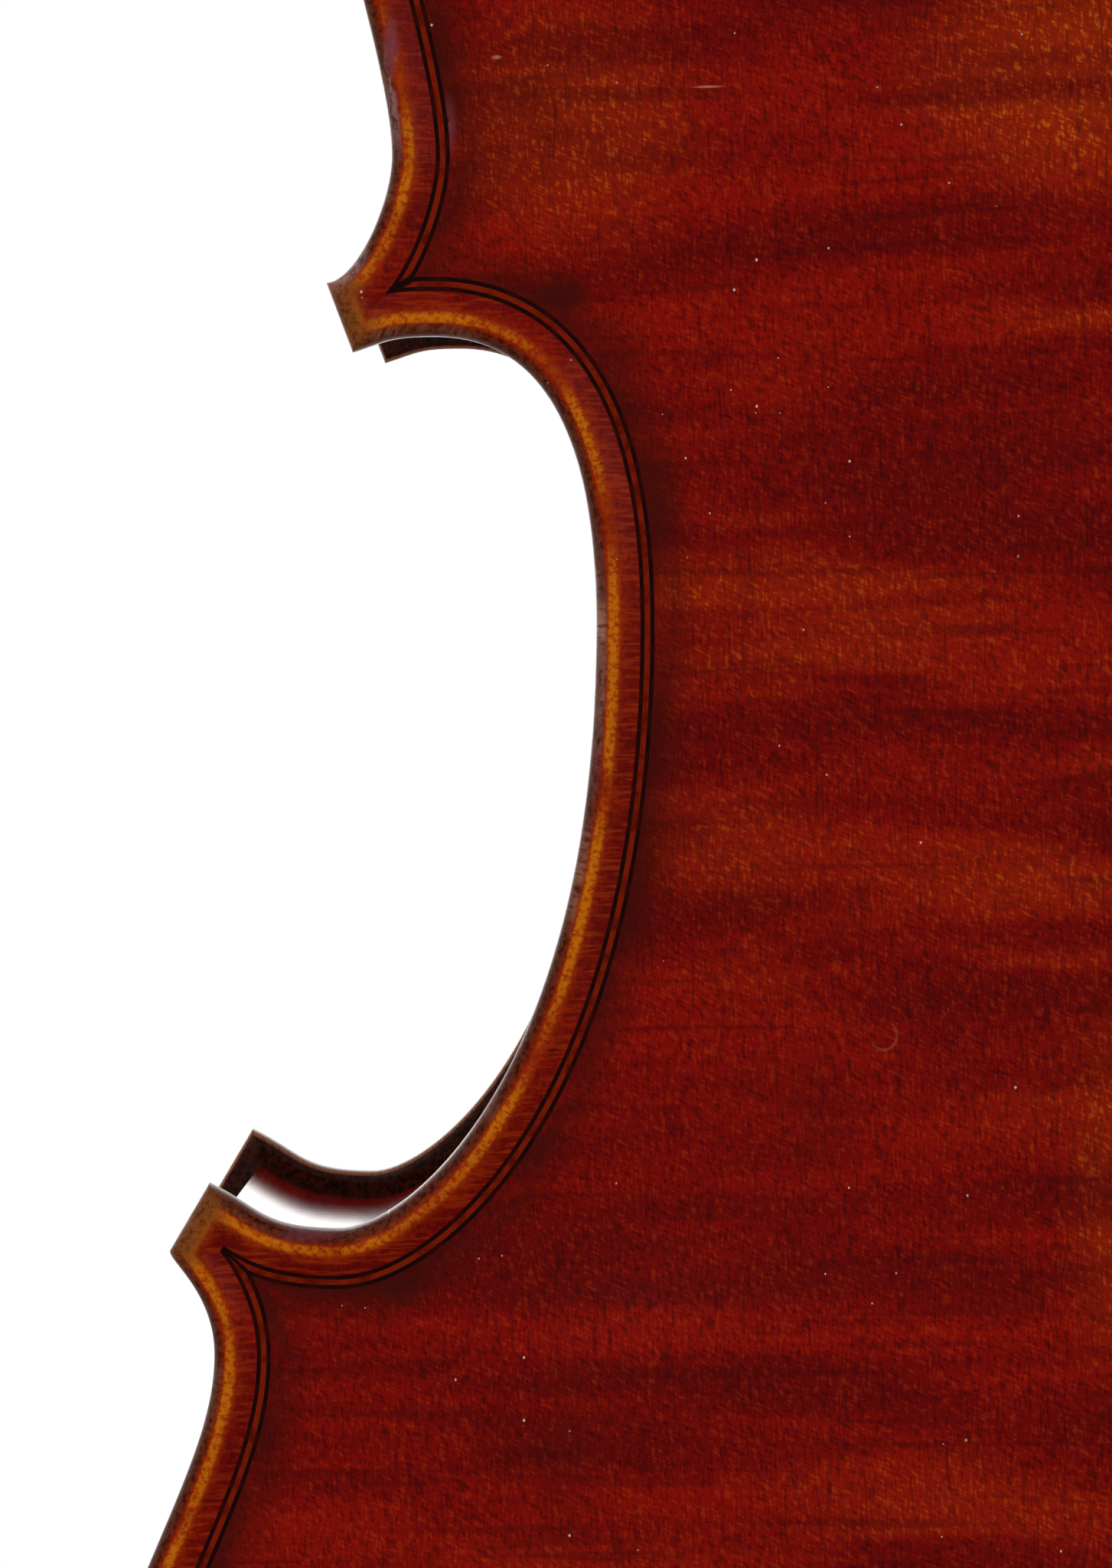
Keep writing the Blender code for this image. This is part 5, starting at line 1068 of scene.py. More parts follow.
board = {"length": 308.0, "widths": (25.0, 47.0), "edge": 5.0, "radius": 42.0}
bodyTop = outline["base"] + outline["length"]
slope = radians(neck["slope"])
neckUp = Vector((0, -sin(slope), cos(slope)))
neckOut = Vector((0, cos(slope), sin(slope)))
nutPlace = Vector((0, plates["edge"] + neck["overstand"], bodyTop)) + neckUp * neck["length"]


def onNeck(x, up, out):
    return (nutPlace + neckUp * up + neckOut * out + Vector((x, 0, 0))) * mm


def boardHalf(up):
    return partWay(-up / board["length"], *board["widths"]) / 2


def heelHalf(y):
    share = (y + ribs["half"]) / (plates["edge"] + ribs["half"])
    return partWay(share, neck["heel"][1], neck["heel"][0]) / 2


def halfLoop(inner, outer, half):
    # a D-shaped section, flat at the board and rounded behind
    points = []
    for angle in np.linspace(0, pi, neck["sides"] + 1):
        along = abs(sin(angle)) ** (1 / 1.2)
        across = copysign(abs(cos(angle)) ** (1 / 1.2), cos(angle))
        points.append(inner.lerp(outer, along) + Vector((half * across * mm, 0, 0)))
    return points


def makeNeck(material):
    rings, length = [], neck["length"]
    for up, share in ((-share * length, share) for share in (-0.02, 0.1, 0.35, 0.6, 0.8)):
        depth = partWay(share, *neck["depths"])
        rings.append(halfLoop(onNeck(0, up, 0), onNeck(0, up, -depth), boardHalf(up) - 0.2))
    # the heel: share of the way down its back, the point in front, and half the width
    into = ribs["overhang"] + neck["mortise"]
    heelLow = Vector((0, -ribs["half"], bodyTop + neck["button"])) * mm
    handleEnd = onNeck(0, -0.8 * length, -neck["depths"][1])
    way = bezier(handleEnd, handleEnd - neckUp * 17 * mm, heelLow + Vector((0, 16 * mm, 0)), heelLow, 50)
    heel = [(0.18, onNeck(0, 8 - length, 0), boardHalf(-length) - 0.2),
            (0.42, onNeck(0, -into / cos(slope) - length, 0), heelHalf(plates["edge"]) + 0.3)]
    inBody = ((0.62, plates["edge"], 0.1), (0.8, 3.7, 0.1), (0.92, -10.2, 0.1), (1.0, -ribs["half"], 0))
    for share, y, less in inBody:
        heel.append((share, Vector((0, y, bodyTop - into)) * mm, heelHalf(y) - less))
    for share, inner, half in heel:
        rings.append(halfLoop(inner, Vector(at(way, share * 50)), half))
    finishPiece("neckHandle", between(rings, 7), material, "varnished_maple", "neck", angle=50)


def boxAt(table, up):
    return float(np.interp(up, *zip(*pegbox[table])))


def makePegbox(material):
    # one long U: the cheeks, the floor between them, and a fluted back
    low, high = pegbox["trough"]
    ups = [-6, -4, -2, 0, 2, 4, 6, 6.3, low, low + 0.4, *np.linspace(8.5, 76, 24), high - 0.3, high, 79, 82, 84]
    corner, rings = pegbox["corner"], []
    for up in ups:
        front, back, half = (boxAt(name, up) for name in ("front", "back", "half"))
        if up <= 6.0:
            front = -0.3
        if up < 0:
            back = -13 - 6 * smoothStep((up + 6) / 6)
        reach, inner = half - corner, half - pegbox["wall"]
        middle, bend = 0.5 * (front + back) + 2, np.linspace(0.25, pi / 2, 7)
        side = [(half - 0.5, front), (half, front - 0.5), (half, middle), (half, back + corner)]
        side += [(half - corner * (1 - cos(a)), back + corner * (1 - sin(a))) for a in bend]
        side += [(reach, back)]
        flute = min(1, max(0, (up + 2) / 20))
        side += [(reach * (1 - t), back + flute * sin(pi * t)) for t in np.linspace(0.12, 0.88, 7)]
        side += [(0, back)]
        floor, lip, foot = front, front, front
        if low < up < high:
            floor = back + 1.15 * pegbox["wall"] + 3.0 * min(1.0, max(0.0, (up - 70) / 7.0)) ** 2
            lip, foot = front - 0.4, floor + 1.0
        trough = [(-inner - 0.4, front), (-inner, lip), (-inner, foot), (-inner + 1.0, floor)]
        ring = side + [(-x, out) for x, out in side[-2::-1]]
        ring += trough + [(0, floor)] + [(-x, out) for x, out in trough[::-1]]
        rings.append([onNeck(x, up, out) for x, out in ring])
    finishPiece("pegbox", rings, material, "varnished_maple", "neck", angle=38)


def scrollRadius(turn):
    return (scroll["radius"] - 2) * exp(-0.141 * turn) + 2


def scrollHalf(turn):
    widths = scroll["widths"]
    return float(np.interp(turn, np.radians(scroll["turns"]), widths)) / widths[-1] * scroll["eye"] / 2


def onScroll(x, turn, radius):
    up, out = scroll["centre"]
    return onNeck(x, up + radius * sin(turn), out - radius * cos(turn))


def makeScroll(material):
    steps = scroll["steps"]
    start, last = -steps // 8, int(2.25 * steps)
    bm = bmesh.new()
    for side in (-1, 1):
        for low, high, inner in ((start, start + steps, False), (start + steps, last, True)):
            chains = []
            for i in range(low, high + 1):
                turn = 2 * pi * i / steps
                radius, half = scrollRadius(turn), scrollHalf(turn)
                foot = scrollHalf(turn - 2 * pi) if inner else 0.0
                chamfer = scroll["chamfer"] * min(1, (last - i) / steps + 0.4)
                line = []
                for t in np.linspace(0, 1, 9):
                    dip = scroll["flute"] * sin(pi * t) * (0.35 if inner else 1.0)
                    line.append((foot + t * (half - chamfer - foot), radius - dip))
                line.append((half, radius - chamfer))
                within = i + steps <= last
                end = scrollRadius(turn + 2 * pi) if within else 0.0
                deep = scroll["scoop"] if within else 0.25
                for t in np.linspace(0, 1, 9)[1:]:
                    level = radius - chamfer + t * (end - radius + chamfer)
                    line.append((half - deep * sin(pi * t) ** 0.8, level))
                chains.append([onScroll(side * x, turn, r) for x, r in line])
            skin(bm, chains, caps=False, closed=False)
    # the wall's two ends, one against the eye and one inside the pegbox
    bmesh.ops.remove_doubles(bm, verts=bm.verts[:], dist=2e-5)
    bmesh.ops.holes_fill(bm, edges=[e for e in bm.edges if len(e.link_faces) == 1], sides=0)
    # the round eye that the last turn ends in
    tip, r = scroll["eye"] / 2, scrollRadius(2 * pi * last / steps) + 0.25
    profile = ((r, 0.55 * tip), (r, tip - 1.3), (r - 0.25, tip - 0.6), (r - 0.7, tip - 0.2),
               (r - 1.3, tip - 0.05), (0.02, tip))
    for side in (-1, 1):
        skin(bm, lathed(profile, 40, lambda a, h, b: onScroll(side * h, atan2(b, a), hypot(a, b))))
    finishPiece("scroll", bm, material, "varnished_maple", "neck", angle=42, merge=0)


# the pegs, each with the string wound on it
pegs = {
    "c": (1, 17.0, 1.10), "g": (1, 54.0, 0.85), "d": (-1, 69.0, 0.75), "a": (-1, 32.0, 0.65),
    "clearance": 10.0,
    "radius": (3.5, 4.0),  # 14 mm from the middle towards the tip, and 38 mm on from there
    "turns": 5,
    "winding": (0.8, 0.08),  # its gaps to the pegbox's wall and to the peg
    "head": (  # along from the collar, half width, half thickness
        (0, 5.4, 5.4), (0.35, 6.2, 6.2), (1.2, 6.7, 6.7), (2.2, 6.85, 6.85), (3.2, 6.6, 6.6),
        (3.9, 5.6, 5.6), (4.6, 4.8, 4.8), (5.4, 4.4, 4.4), (6.2, 4.35, 4.3), (7.4, 5.4, 4.4),
        (9.0, 7.6, 4.6), (11.2, 10.0, 4.85), (13.5, 11.6, 4.9), (16.5, 12.6, 4.7), (19.5, 12.8, 4.3),
        (22.4, 12.1, 4.1), (25.0, 10.4, 4.0), (27.0, 8.0, 3.8), (28.4, 5.4, 3.4), (29.0, 3.0, 3.0),
        (29.5, 2.1, 2.1), (30.1, 2.4, 2.4), (30.8, 2.4, 2.4), (31.3, 1.9, 1.9), (31.5, 1.0, 1.0),
    ),
    "sides": 40,
}


def pegCentre(up):
    return onNeck(0, up, 0.56 * boxAt("front", up) + 0.44 * boxAt("back", up))


def pegRadius(x):
    return partWay((x + 14) / 38, *pegs["radius"])


def windingStart(up, thick):
    return boxAt("half", up) - pegbox["wall"] - pegs["turns"] * thick - pegs["winding"][0]


def makePegs(wood, winding):
    for name in "cgda":
        side, up, thick = pegs[name]
        half, centre = boxAt("half", up), pegCentre(up)
        tip, collar = -half - 0.5, half + pegs["clearance"]
        shaft = [(tip, 0.2), (tip, pegRadius(tip) - 0.3), (tip + 0.3, pegRadius(tip))]
        shaft += [(x, pegRadius(x)) for x in np.linspace(tip + 2, collar - 0.2, 6)]
        stations = [(x, r, r) for x, r in shaft] + [(collar + x, wide, thin) for x, wide, thin in pegs["head"]]
        rings, rim = [], circle(pegs["sides"])
        for along, wide, thin in stations:
            rings.append([centre + Vector((side * along, thin * c, wide * s)) * mm for c, s in rim])
        finishPiece(f"peg_{name}_turned", rings, wood, "ebony", f"peg_{name}", body=f"peg_{name}", angle=45)
        start, count = windingStart(up, thick), pegs["turns"]
        reach = pegRadius(half) + pegs["winding"][1] + thick / 2
        path = []
        for turn in np.linspace(0, count * 2 * pi - 0.6, 150):
            along = start + thick / 2 + (count * thick - thick) * turn / (count * 2 * pi)
            path.append(centre + Vector((side * along, reach * cos(turn), reach * sin(turn))) * mm)
        finishPiece(f"string_{name}_wound", tubeAlong(path, thick / 2 * mm, 8), winding, "wound_steel",
                    f"string_{name}_winding", body=f"peg_{name}", angle=60, merge=0)


# the fingerboard and the nut
def crowned(x, half):
    # the board's round top over its edge
    r = board["radius"]
    return board["edge"] + sqrt(r * r - x * x) - sqrt(r * r - half * half)


def makeBoard(wood):
    end, free, rings = -board["length"], -neck["length"] - 15, []
    ups = [-1.0, -1.3, *np.linspace(-12, free, 14), free - 0.6, free - 5]
    ups += [*np.linspace(-180, end + 0.3, 12), end]
    for up in ups:
        half = boardHalf(up)
        trim = 0.3 if up in (ups[0], end) else 0.0
        across = np.linspace(half - 0.35, -half + 0.35, 25)
        ring = [onNeck(x * (1 - 0.02 * trim), up, crowned(x, half) - trim) for x in across]
        ring += [onNeck(-half, up, board["edge"] - 0.5), onNeck(-half, up, 0.5), onNeck(-half + 0.4, up, 0.1)]
        deep = 0.5 * board["edge"] if up < free else 0  # hollow below, where the neck has ended
        ring += [onNeck(0.72 * t * half, up, 0.1 + deep * (1 - t * t) ** 0.6) for t in np.linspace(-1, 1, 11)]
        ring += [onNeck(half - 0.4, up, 0.1), onNeck(half, up, 0.5), onNeck(half, up, board["edge"] - 0.5)]
        rings.append(ring)
    finishPiece("fingerboardEbony", rings, wood, "ebony", "fingerboard")


strings = {"bridge": 37.5, "nut": 17.4, "tail": 0.86 * 37.5, "clear": 0.25, "silk": 26}  # spans, mm


def stringX(place, index):
    return strings[place] * (0.5 - index / 3)


def nutTop(x):
    return 1.0 + crowned(x, boardHalf(0))


def makeNut(wood):
    half, rings = boardHalf(0), []
    falls = ((0, 0.6), (0.06, 0.2), (0.3, 0), (0.45, 0.5), (0.6, 2.0), (0.8, 3.8), (0.95, 5.1), (1, 5.4))
    for share, drop in falls:
        up, ring = share * 6.0, []
        for x in np.linspace(half - 0.3, 0.3 - half, 61):
            groove = max(0.0, 0.35 - min(abs(x - stringX("nut", i)) for i in range(4))) if share < 0.5 else 0
            ring.append((x, max(0.4, nutTop(x) - drop - groove)))
        low = max(0.3, nutTop(half) - drop - 0.4)
        ring += [(-half, low), (-half, 0.1), (half, 0.1), (half, low)]
        rings.append([onNeck(x, up, out) for x, out in ring])
    finishPiece("nutEbony", rings, wood, "ebony", "nut")


# the bridge: feet, waist, arms, heart and side windows
bridge = {
    "z": 197.7, "height": 37.0, "feet": 50.0, "thick": 5.4, "thin": 1.8, "radius": 42.0,
    # shares of half the feet's span, and of the height
    "side": ((0.79, 0.22), (0.84, 0.28), (0.95, 0.34), (0.99, 0.41), (0.93, 0.47), (0.89, 0.52), (0.95, 0.57),
             (0.99, 0.62), (0.96, 0.70), (0.90, 0.78)),
    "opening": ((0, 0.165), (0.1, 0.155), (0.2, 0.11), (0.27, 0.06)),
    "heart": ((0, 0.50), (0.08, 0.555), (0.135, 0.62), (0.12, 0.68), (0.05, 0.69), (0, 0.645),
              (-0.05, 0.69), (-0.12, 0.68), (-0.135, 0.62), (-0.08, 0.555)),
    "window": ((0.44, 0.40), (0.60, 0.36), (0.72, 0.42), (0.70, 0.52), (0.60, 0.585), (0.50, 0.60),
               (0.42, 0.54), (0.385, 0.47)),
}
bridgeBase = bellyTop(0, bridge["z"])
bridgeCrown = bridgeBase + bridge["height"]


def crownY(x):
    return bridgeCrown + sqrt(bridge["radius"] ** 2 - x * x) - bridge["radius"]


def makeBridge(wood):
    half, height = bridge["feet"] / 2, bridge["height"]

    def listed(key):
        return [(x * half, bridgeBase + share * height) for x, share in bridge[key]]

    def foot(share):
        return share * half, bellyTop(share * half, bridge["z"]) + 0.05

    def place(x, y, face):
        share = min(max((y - bridgeBase) / height, 0), 1)
        depth = partWay(share**0.8, bridge["thick"], bridge["thin"])
        return (x * mm, y * mm, (bridge["z"] - bridge["thick"] / 2 + face * depth) * mm)

    low = foot(1.0)[1]
    ankle = [(half, low), (half + 0.1, low + 1.4), (0.97 * half, low + 2.9), (0.85 * half, low + 4.4)]
    edge = between(ankle + listed("side"), 5)
    sole = [foot(s) for s in np.linspace(0.30, 0.97, 8)]
    crown = [(x, crownY(x)) for x in np.linspace(0.86 * half, 0, 16)]
    opening = between([*listed("opening"), foot(0.30)], 4)
    right = [*map(tuple, opening[:-1]), *sole, *map(tuple, edge), *crown]
    whole = right + [(-x, y) for x, y in right[-2:0:-1]]
    heart, window = roundedLoop(listed("heart")), roundedLoop(listed("window"))
    bm = bmesh.new()
    sawn(bm, [whole, heart, window, window * (-1, 1)], place)
    made = finishPiece("bridgeMaple", bm, wood, "bridge_maple", "bridge", angle=30)
    softened(made, 0.25 * mm, 2, 50)


# the tailpiece, by distances up it and out from it
tail = {
    "low": (0, 30.5, 22.7),
    "length": 118.0,
    "widths": (46.0, 25.0),  # at the strings, at the button
    "thickness": 5.0,
    "hole": 104.0,
    "holeRadius": 1.75,
    "slot": (0.55, 8.5),  # half its width, and its length from the hole
    "ridge": (5.2, 0.75),  # from the top end, radius
    "gutHalf": 4.5,
}
tailLow = Vector(tail["low"])
tailUp = (Vector((0, bridgeCrown - 0.5, bridge["z"])) - tailLow).normalized()
tailOut = Vector((0, tailUp.z, -tailUp.y))


def onTail(x, up, out):
    return (tailLow + tailUp * up + tailOut * out + Vector((x, 0, 0))) * mm


def tailHalf(share):
    return partWay(max(share, 0) ** 0.85, tail["widths"][1], tail["widths"][0]) / 2


def tailRise(x, share):
    half = tailHalf(share)
    return -(0.16 + 0.06 * share) * half * (abs(x) / half) ** 2


def makeTailpiece(wood):
    length, rings = tail["length"], []
    stations = [(0, 0.72), (0.008, 0.84), (0.025, 0.94), (0.06, 0.985)]
    stations += [(s, 1.0) for s in np.linspace(0.12, 0.955, 22)]
    stations += [(0.975, 0.985), (0.99, 0.955), (0.998, 0.92), (1.0, 0.9)]
    for share, pinch in stations:
        half = tailHalf(share) * pinch
        thick = tail["thickness"] * (0.75 + 0.25 * share)
        trim = 0.5 if share in (0, 1.0) else 0.0
        top = [(x, tailRise(x, share) - trim) for x in np.linspace(half - 0.5, 0.5 - half, 25)]
        low = [(x, tailRise(x, share) - thick + trim) for x in np.linspace(-half + 1.0, half - 1.0, 25)]
        rim = tailRise(half, share)
        edges = [(-half, rim - 0.5 - trim), (-half, rim - thick + 0.9 + trim)]
        ring = top + edges + low + [(-x, y) for x, y in edges[::-1]]
        rings.append([onTail(x, share * length, out) for x, out in ring])
    made = finishPiece("tailpieceEbony", rings, wood, "ebony", "tailpiece")
    r, (slot, slotEnd) = tail["holeRadius"], tail["slot"]
    gap = asin(slot / r)
    loop = [(r * cos(t), r * sin(t)) for t in np.linspace(0.5 * pi + gap, 2.5 * pi - gap, 22)]
    loop += [(slot, slotEnd), (-slot, slotEnd)]
    for index in range(4):
        x = stringX("tail", index)
        cutWith(made, [[onTail(x + a, tail["hole"] + b, out) for a, b in loop] for out in (-16, 6)])
    # a thin ridge that the strings leave the tailpiece over
    down, radius = tail["ridge"]
    share = 1 - down / length
    half = tailHalf(share) - 1.2
    path = [onTail(x, share * length, tailRise(x, share) - 0.35) for x in np.linspace(-half, half, 40)]
    finishPiece("tailpieceRidge", tubeAlong(path, radius * mm, 10), wood, "ebony", angle=50)


# the strings, and the gut that holds the tailpiece
def eased(points, reach, steps=6):
    # rounds a path's bends
    points = [Vector(p) for p in points]
    made = [points[0]]
    for before, here, after in zip(points, points[1:], points[2:]):
        cut = min(reach * mm, 0.45 * (here - before).length, 0.45 * (after - here).length)
        start, end = here + (before - here).normalized() * cut, here + (after - here).normalized() * cut
        for t in np.linspace(0, 1, steps):
            made.append(start.lerp(here, t).lerp(here.lerp(end, t), t))
    return made + [points[-1]]


def makeStrings(wound, silks):
    for index, name in enumerate("cgda"):
        side, up, thick = pegs[name]
        held = name == "a"  # this one hangs on the tuner's hook, so its lower end bends with it
        radius, clear, x = thick / 2, strings["clear"], stringX("tail", index)
        out = tailRise(x, 1 - 3 / tail["length"]) + radius
        start = [onTail(x, tail["hole"], -2.5), onTail(x, tail["hole"], out + 0.5),
                 onTail(x, tail["length"] - 3, out + 0.6)]
        if held:
            start = [onTail(x, tail["length"] + tuner["gap"] + tuner["hook"] + 0.8, tuner["low"] + 10.3)]
        across = stringX("bridge", index)
        over = Vector((across, crownY(across) + radius + clear, bridge["z"] - 1.8)) * mm
        across = stringX("nut", index)
        rest = onNeck(across, 1.8, nutTop(across) + radius + clear)
        outer = pegRadius(boxAt("half", up)) + pegs["winding"][1] + thick
        along = side * (windingStart(up, thick) + 0.5 * thick)
        front = pegCentre(up) + (Vector((along, 0, 0)) + neckOut * (outer + radius + 0.15) - neckUp) * mm
        foot, rise = start[-1], (over - start[-1]).normalized() * mm
        path = eased([*start, over, rest, front], 1.2)
        if held:
            path[1:1] = [foot + rise * s for s in (1.5, 3, 4.5, 6, 7.5, 9, 14, 20)]
        body = None if held else "viola"
        bent = [finishPiece(f"string_{name}_stretched", tubeAlong(path, radius * mm, 12), wound, "wound_steel",
                            f"string_{name}", body=body, angle=60, merge=0)]
        # coloured silk wrapped round both ends
        sizes = [(radius + 0.07) * mm if 0 < k < 11 else radius * 0.98 * mm for k in range(12)]
        ends = (("tail", foot, foot + rise * strings["silk"], body),
                ("head", rest.lerp(front, 0.06), rest.lerp(front, 0.985), "viola"))
        for part, low, high, body in ends:
            silk = tubeAlong([low.lerp(high, t) for t in np.linspace(0, 1, 12)], sizes, 12)
            bent.append(finishPiece(f"silk_{name}_{part}", silk, silks[index], "wound_steel", body=body,
                                    angle=60, merge=0))
        for piece in bent[:2] if held else ():
            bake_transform(piece, "viola", "tuner_lever", tuple(start[-1] + rise * 24), tuple(start[-1] + rise * 0.5))


endButton = {
    "radius": 7.2,
    "length": 14.5,
    "profile": (  # shares of the radius and of the length
        (0.0, 0.0), (0.30, 0.0), (0.55, 0.012), (0.76, 0.04), (0.9, 0.10), (1.0, 0.24), (1.0, 0.40),
        (0.93, 0.47), (0.74, 0.55), (0.65, 0.63), (0.62, 0.70), (0.64, 0.78), (0.76, 0.86),
        (0.84, 0.905), (0.84, 0.94),
    ),
}
saddle = {"half": 18.5, "depth": 8.0, "low": 18.65, "rise": 5.0}


def makeTailgut(cord):
    radius, half, base = 0.9, tail["gutHalf"], outline["base"]
    groove, low = 0.64 * endButton["radius"] + radius + 0.3, 0.70 * endButton["length"]
    front = plates["edge"] + saddle["rise"] + radius + 0.35
    path = [onTail(half, 9, -2.2), onTail(half, -1, -2.2)]
    rest = [(half, front, base + 4.8), (half, front, base + 0.5), (half * 1.02, front - 1.6, base - 1.6),
            (half * 1.1, 0.55 * front, 0.5 * (base + low) - 1.2), (groove, 2, low)]
    path = eased(path + [Vector(p) * mm for p in rest], 2.2)
    around = [Vector((groove * cos(a), groove * sin(a), low)) * mm for a in np.linspace(0, -pi, 26)[1:-1]]
    other = [Vector((-p.x, p.y, p.z)) for p in reversed(path)]
    finishPiece("tailgutCord", tubeAlong(path + around + other, radius * mm, 14), cord, "tail_cord", "tailgut",
                angle=60, merge=0)


# the saddle and the end button
def makeSaddle(wood):
    half, depth, low, rise = saddle.values()
    rings = []
    for share in np.concatenate([[-1.0, -0.985], np.linspace(-0.95, 0.95, 25), [0.985, 1.0]]):
        top = plates["edge"] + rise * (0.1 + 0.9 * smoothStep(min(1.0, (1 - abs(share)) / 0.3)))
        trim = 0.35 if abs(share) > 0.99 else 0.0
        profile = ((low, -0.05), (top - 1.1, -0.05), (top - 0.5, 0.3), (top - 0.12, 1.0), (top, 1.9),
                   (top, 3.6), (top - 0.25, 5.4), (top - 0.6, 7.2), (top - 1.0, depth - 0.2),
                   (top - 1.4, depth), (low, depth))
        points = [(half * share, y - trim * (y > low), outline["base"] + z) for y, z in profile]
        rings.append([(x * mm, y * mm, z * mm) for x, y, z in points])
    finishPiece("saddleEbony", rings, wood, "ebony", "saddle")


def makeEndButton(wood):
    r, out = endButton["radius"], endButton["length"]
    profile = between([(a * r, b * out) for a, b in endButton["profile"]] + [(0.78 * r, out - 0.3)], 4)
    profile = [(max(a, 0.02), max(b, 0.0)) for a, b in profile]
    profile += [(4.0, out - 0.3), (4.0, out + 1.0), (3.45, outline["base"] + 21.1)]
    rings = lathed(profile, 48, lambda x, h, y: (x * mm, y * mm, h * mm))
    finishPiece("endButtonEbony", rings, wood, "ebony", "end_button")


# the first string's fine tuner
tuner = {
    "collar": (3.6, 5.0),
    "shank": 1.2,
    "thread": 0.5,
    "head": (4.2, 4.8),
    "grip": 24,
    "lever": 1.9,
    "hook": 5.4,
    "gap": 1.0,  # from the tailpiece's end
    "low": -tail["thickness"] - 6.4,  # the lever's lower arm
    "headProfile": (  # share of the radius, height, knurled or not
        (0.25, 0, 0), (0.78, 0, 0), (0.9, 0.35, 0), (0.96, 0.7, 0), (1.0, 1.0, 1), (1.0, 3.6, 1),
        (0.96, 4.0, 0), (0.86, 4.45, 0), (0.7, 4.72, 0), (0.4, 4.8, 0), (0.1, 4.8, 0),
    ),
    "leverShape": ((-17.5, -1.4), (-4, -1.4), (2.6, -1), (3.6, 1), (3.6, 9.2), (5.4, 9.8), (5.4, 11.4), (2, 11),
                   (2, 1.8), (-3, 0.4), (-17.5, 0.4)),
}


def makeTuner(nickel):
    x = stringX("tail", 3)
    r, h = tuner["collar"]
    seat = tailRise(abs(x) - r, tail["hole"] / tail["length"]) + 0.3
    headOut = seat + h + 3.6

    def place(across, out, deep):
        return onTail(x + across, tail["hole"] + deep, out)

    bore, waist, rim = tuner["shank"] + 0.25, r - 0.45, r - 0.1
    ring = ((bore, 0), (r - 0.2, 0), (r, 0.2), (r, 1.0), (waist, 1.3), (waist, 3.4), (rim, 3.8), (rim, h - 0.3),
            (r - 0.4, h), (bore, h), (bore, 0))
    bm = bmesh.new()
    skin(bm, lathed([(a, seat + b) for a, b in ring], 40, place), caps=False)
    finishPiece("tunerCollar", bm, nickel, "nickel", "tuner_collar", angle=35)
    # the screw's shank with its thread
    tip, shank = tuner["low"] + 0.7, tuner["shank"]
    profile, z = [(0.35, tip), (shank - 0.35, tip + 0.15), (shank - 0.12, tip + 0.6)], tip + 0.8
    while z < headOut - 0.9:
        profile += [(shank, z), (shank - 0.16, z + tuner["thread"] / 2)]
        z += tuner["thread"]
    profile += [(shank - 0.05, headOut - 0.4), (shank - 0.05, headOut - 0.1)]
    finishPiece("tunerShank", lathed(profile, 20, place), nickel, "nickel", "tuner_screw",
                body="tuner_screw", angle=50)
    # its knurled head
    sides, rings = 4 * tuner["grip"], []
    for share, height, knurl in tuner["headProfile"]:
        ring = []
        for a in (2 * pi * k / sides for k in range(sides)):
            radius = tuner["head"][0] * share - 0.22 * knurl * (0.5 - 0.5 * cos(tuner["grip"] * a))
            ring.append(place(radius * cos(a), headOut + height, radius * sin(a)))
        rings.append(ring)
    finishPiece("tunerHead", rings, nickel, "nickel", "tuner_screw_head", body="tuner_screw_head", angle=35)
    # the lever with its hook
    start = tail["length"] + tuner["gap"]
    rings = [[onTail(x + across, start + along, tuner["low"] + out) for along, out in tuner["leverShape"]]
             for across in (-tuner["lever"], tuner["lever"])]
    made = finishPiece("tunerLever", rings, nickel, "nickel", "tuner_lever", body="tuner_lever", angle=35)
    softened(made, 0.3 * mm, 3, 30)


makeNeck(neckVarnish)
makePegbox(neckVarnish)
makeScroll(neckVarnish)
makePegs(ebony, woundSteel)
print("neck, scroll and pegs made")
makeBoard(ebony)
makeNut(ebony)
makeBridge(bridgeWood)
makeTailpiece(ebony)
makeStrings(woundSteel, silks)
makeTailgut(tailCord)
makeSaddle(ebony)
makeEndButton(ebony)
makeTuner(nickel)
print("fittings made")


# the rest of the wood keeps its place and gets its finish
insideWood = {"lining": willow, "corner_block": willow, "upper_block": willow, "lower_block": willow,
              "bass_bar": bareSpruce, "sound_post": bareSpruce}
for name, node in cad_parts.items():
    for start, finish in insideWood.items():
        if name.startswith(start) and not node.hide_render:
            for slot in node.material_slots:
                slot.material = finish


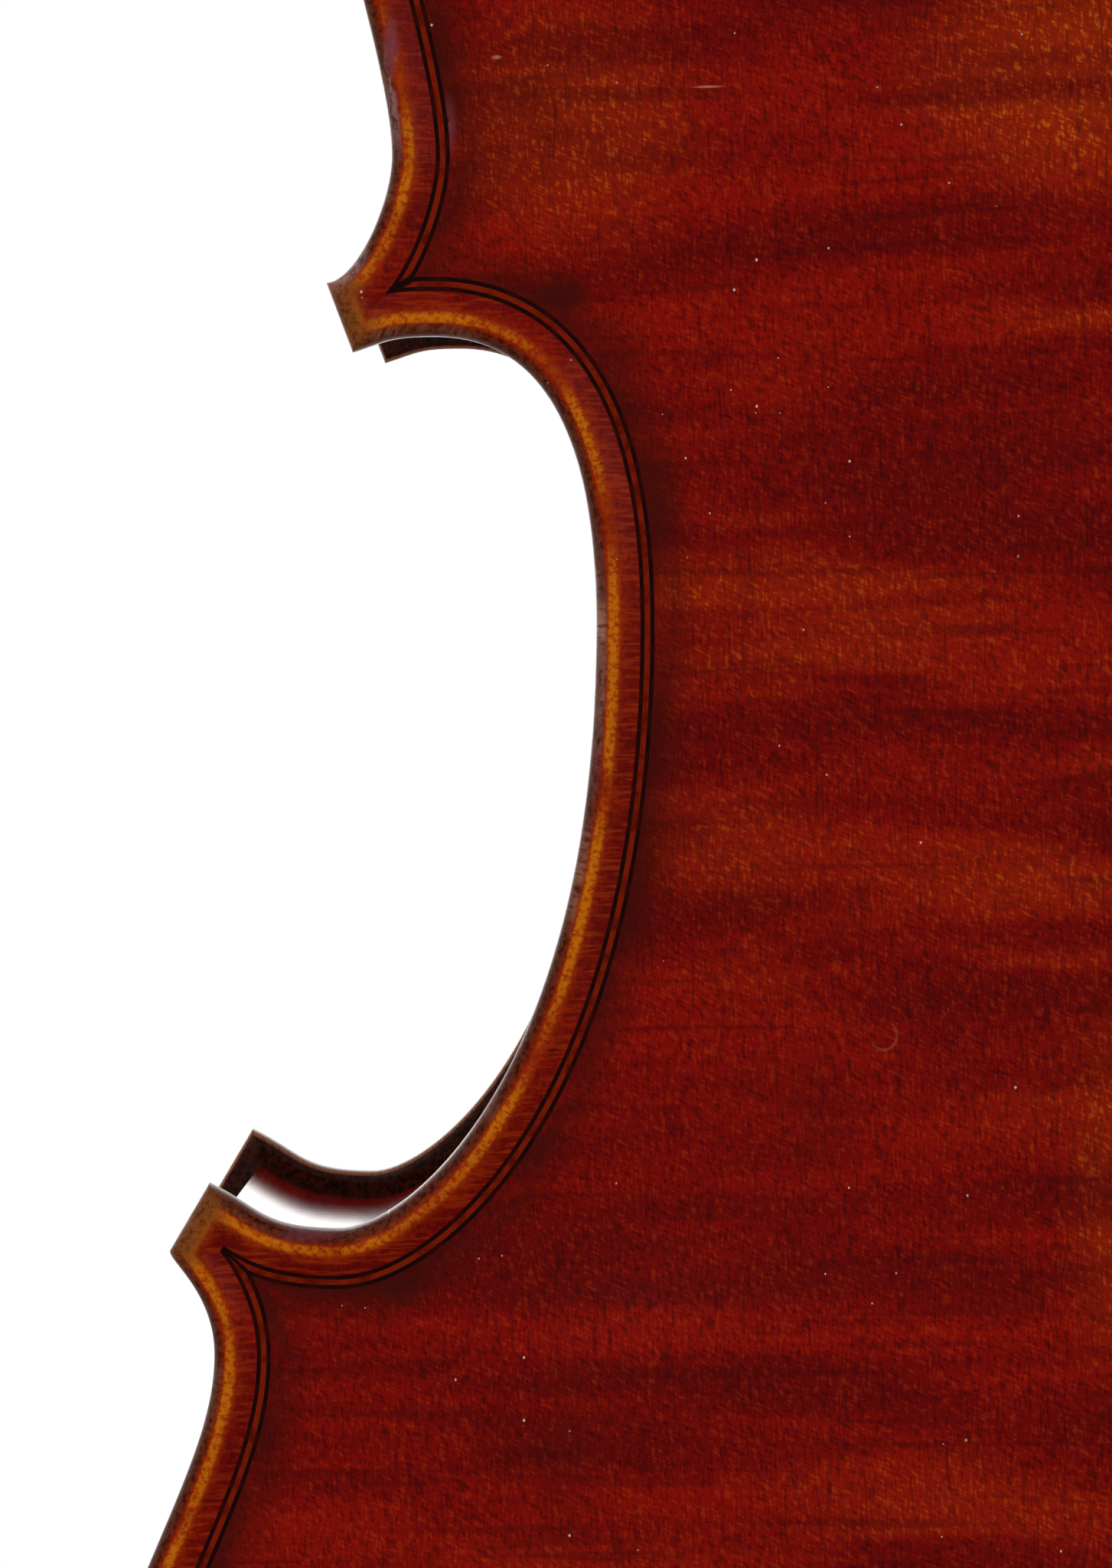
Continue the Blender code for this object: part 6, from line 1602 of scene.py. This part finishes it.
# a pale floor and soft plain light; what shows behind the object is white
studio = {
    "world": 0.5,
    "floor": (0.78, 0.77, 0.75),
    "floorSize": 8.0,
    "floorFade": (0.24, 0.56),  # metres from the viola
    "aim": (0, 0, 0.33),
    "lamps": (  # place, size, power
        ((-1.1, -1.6, 1.5), 1.2, 8.0),
        ((1.3, -1.4, 0.8), 1.0, 4.0),
        ((1.2, 1.6, 1.4), 1.2, 5.0),
        ((-1.3, 1.4, 0.8), 1.0, 2.0),
        ((-0.28, 1.5, 0.45), 1.0, 7.5),  # from behind, along the ribs
    ),
}


def seenStraight():
    # 1 where the camera looks, also in polished metal or through glass
    ray = addNode("LightPath").outputs
    mirrored = calc("MAXIMUM", ray["Is Glossy Ray"], ray["Is Transmission Ray"])
    return calc("MAXIMUM", ray["Is Camera Ray"], mirrored)


def light(kind, strength):
    return addNode(kind, {"Color": (1.0, 1.0, 1.0), "Strength": strength}).outputs[0]


def makeStudio():
    bm = bmesh.new()
    bmesh.ops.create_grid(bm, x_segments=1, y_segments=1, size=studio["floorSize"] / 2)
    floor = addObject("floor", bm)
    floor.data.materials.append(newMaterial("pale floor", Roughness=0.8))
    place, tone = ownPlace(), studio["floor"]
    wire(tint(noise(place, 40, 3), tone, darker(tone, 0.97)), hand["shader"]["Base Color"])
    # the floor passes into the white round it, and keeps the shadow under the viola
    share = times(seenStraight(), remap(lengthOf(place), *studio["floorFade"]))
    nodes = hand["tree"].nodes
    both = addNode("MixShader", {0: share, 1: nodes["Principled BSDF"].outputs[0], 2: light("Emission", 1.0)})
    wire(both.outputs[0], nodes["Material Output"].inputs["Surface"])
    world = bpy.context.scene.world or bpy.data.worlds.new("studio")
    bpy.context.scene.world = world
    world.use_nodes = True
    hand["tree"] = world.node_tree
    world.node_tree.nodes.clear()
    behind = {0: seenStraight(), 1: light("Background", studio["world"]), 2: light("Background", 1.0)}
    addNode("OutputWorld", {"Surface": addNode("MixShader", behind).outputs[0]})
    for k, (place, size, power) in enumerate(studio["lamps"]):
        data = bpy.data.lights.new(f"soft lamp {k + 1}", "AREA")
        data.size, data.energy = size, power
        lamp = addObject(data.name, data)
        lamp.location = place
        lamp.rotation_euler = (Vector(studio["aim"]) - Vector(place)).to_track_quat("-Z", "Y").to_euler()


makeStudio()
bpy.context.scene.view_settings.view_transform = "Standard"
print("studio lit")
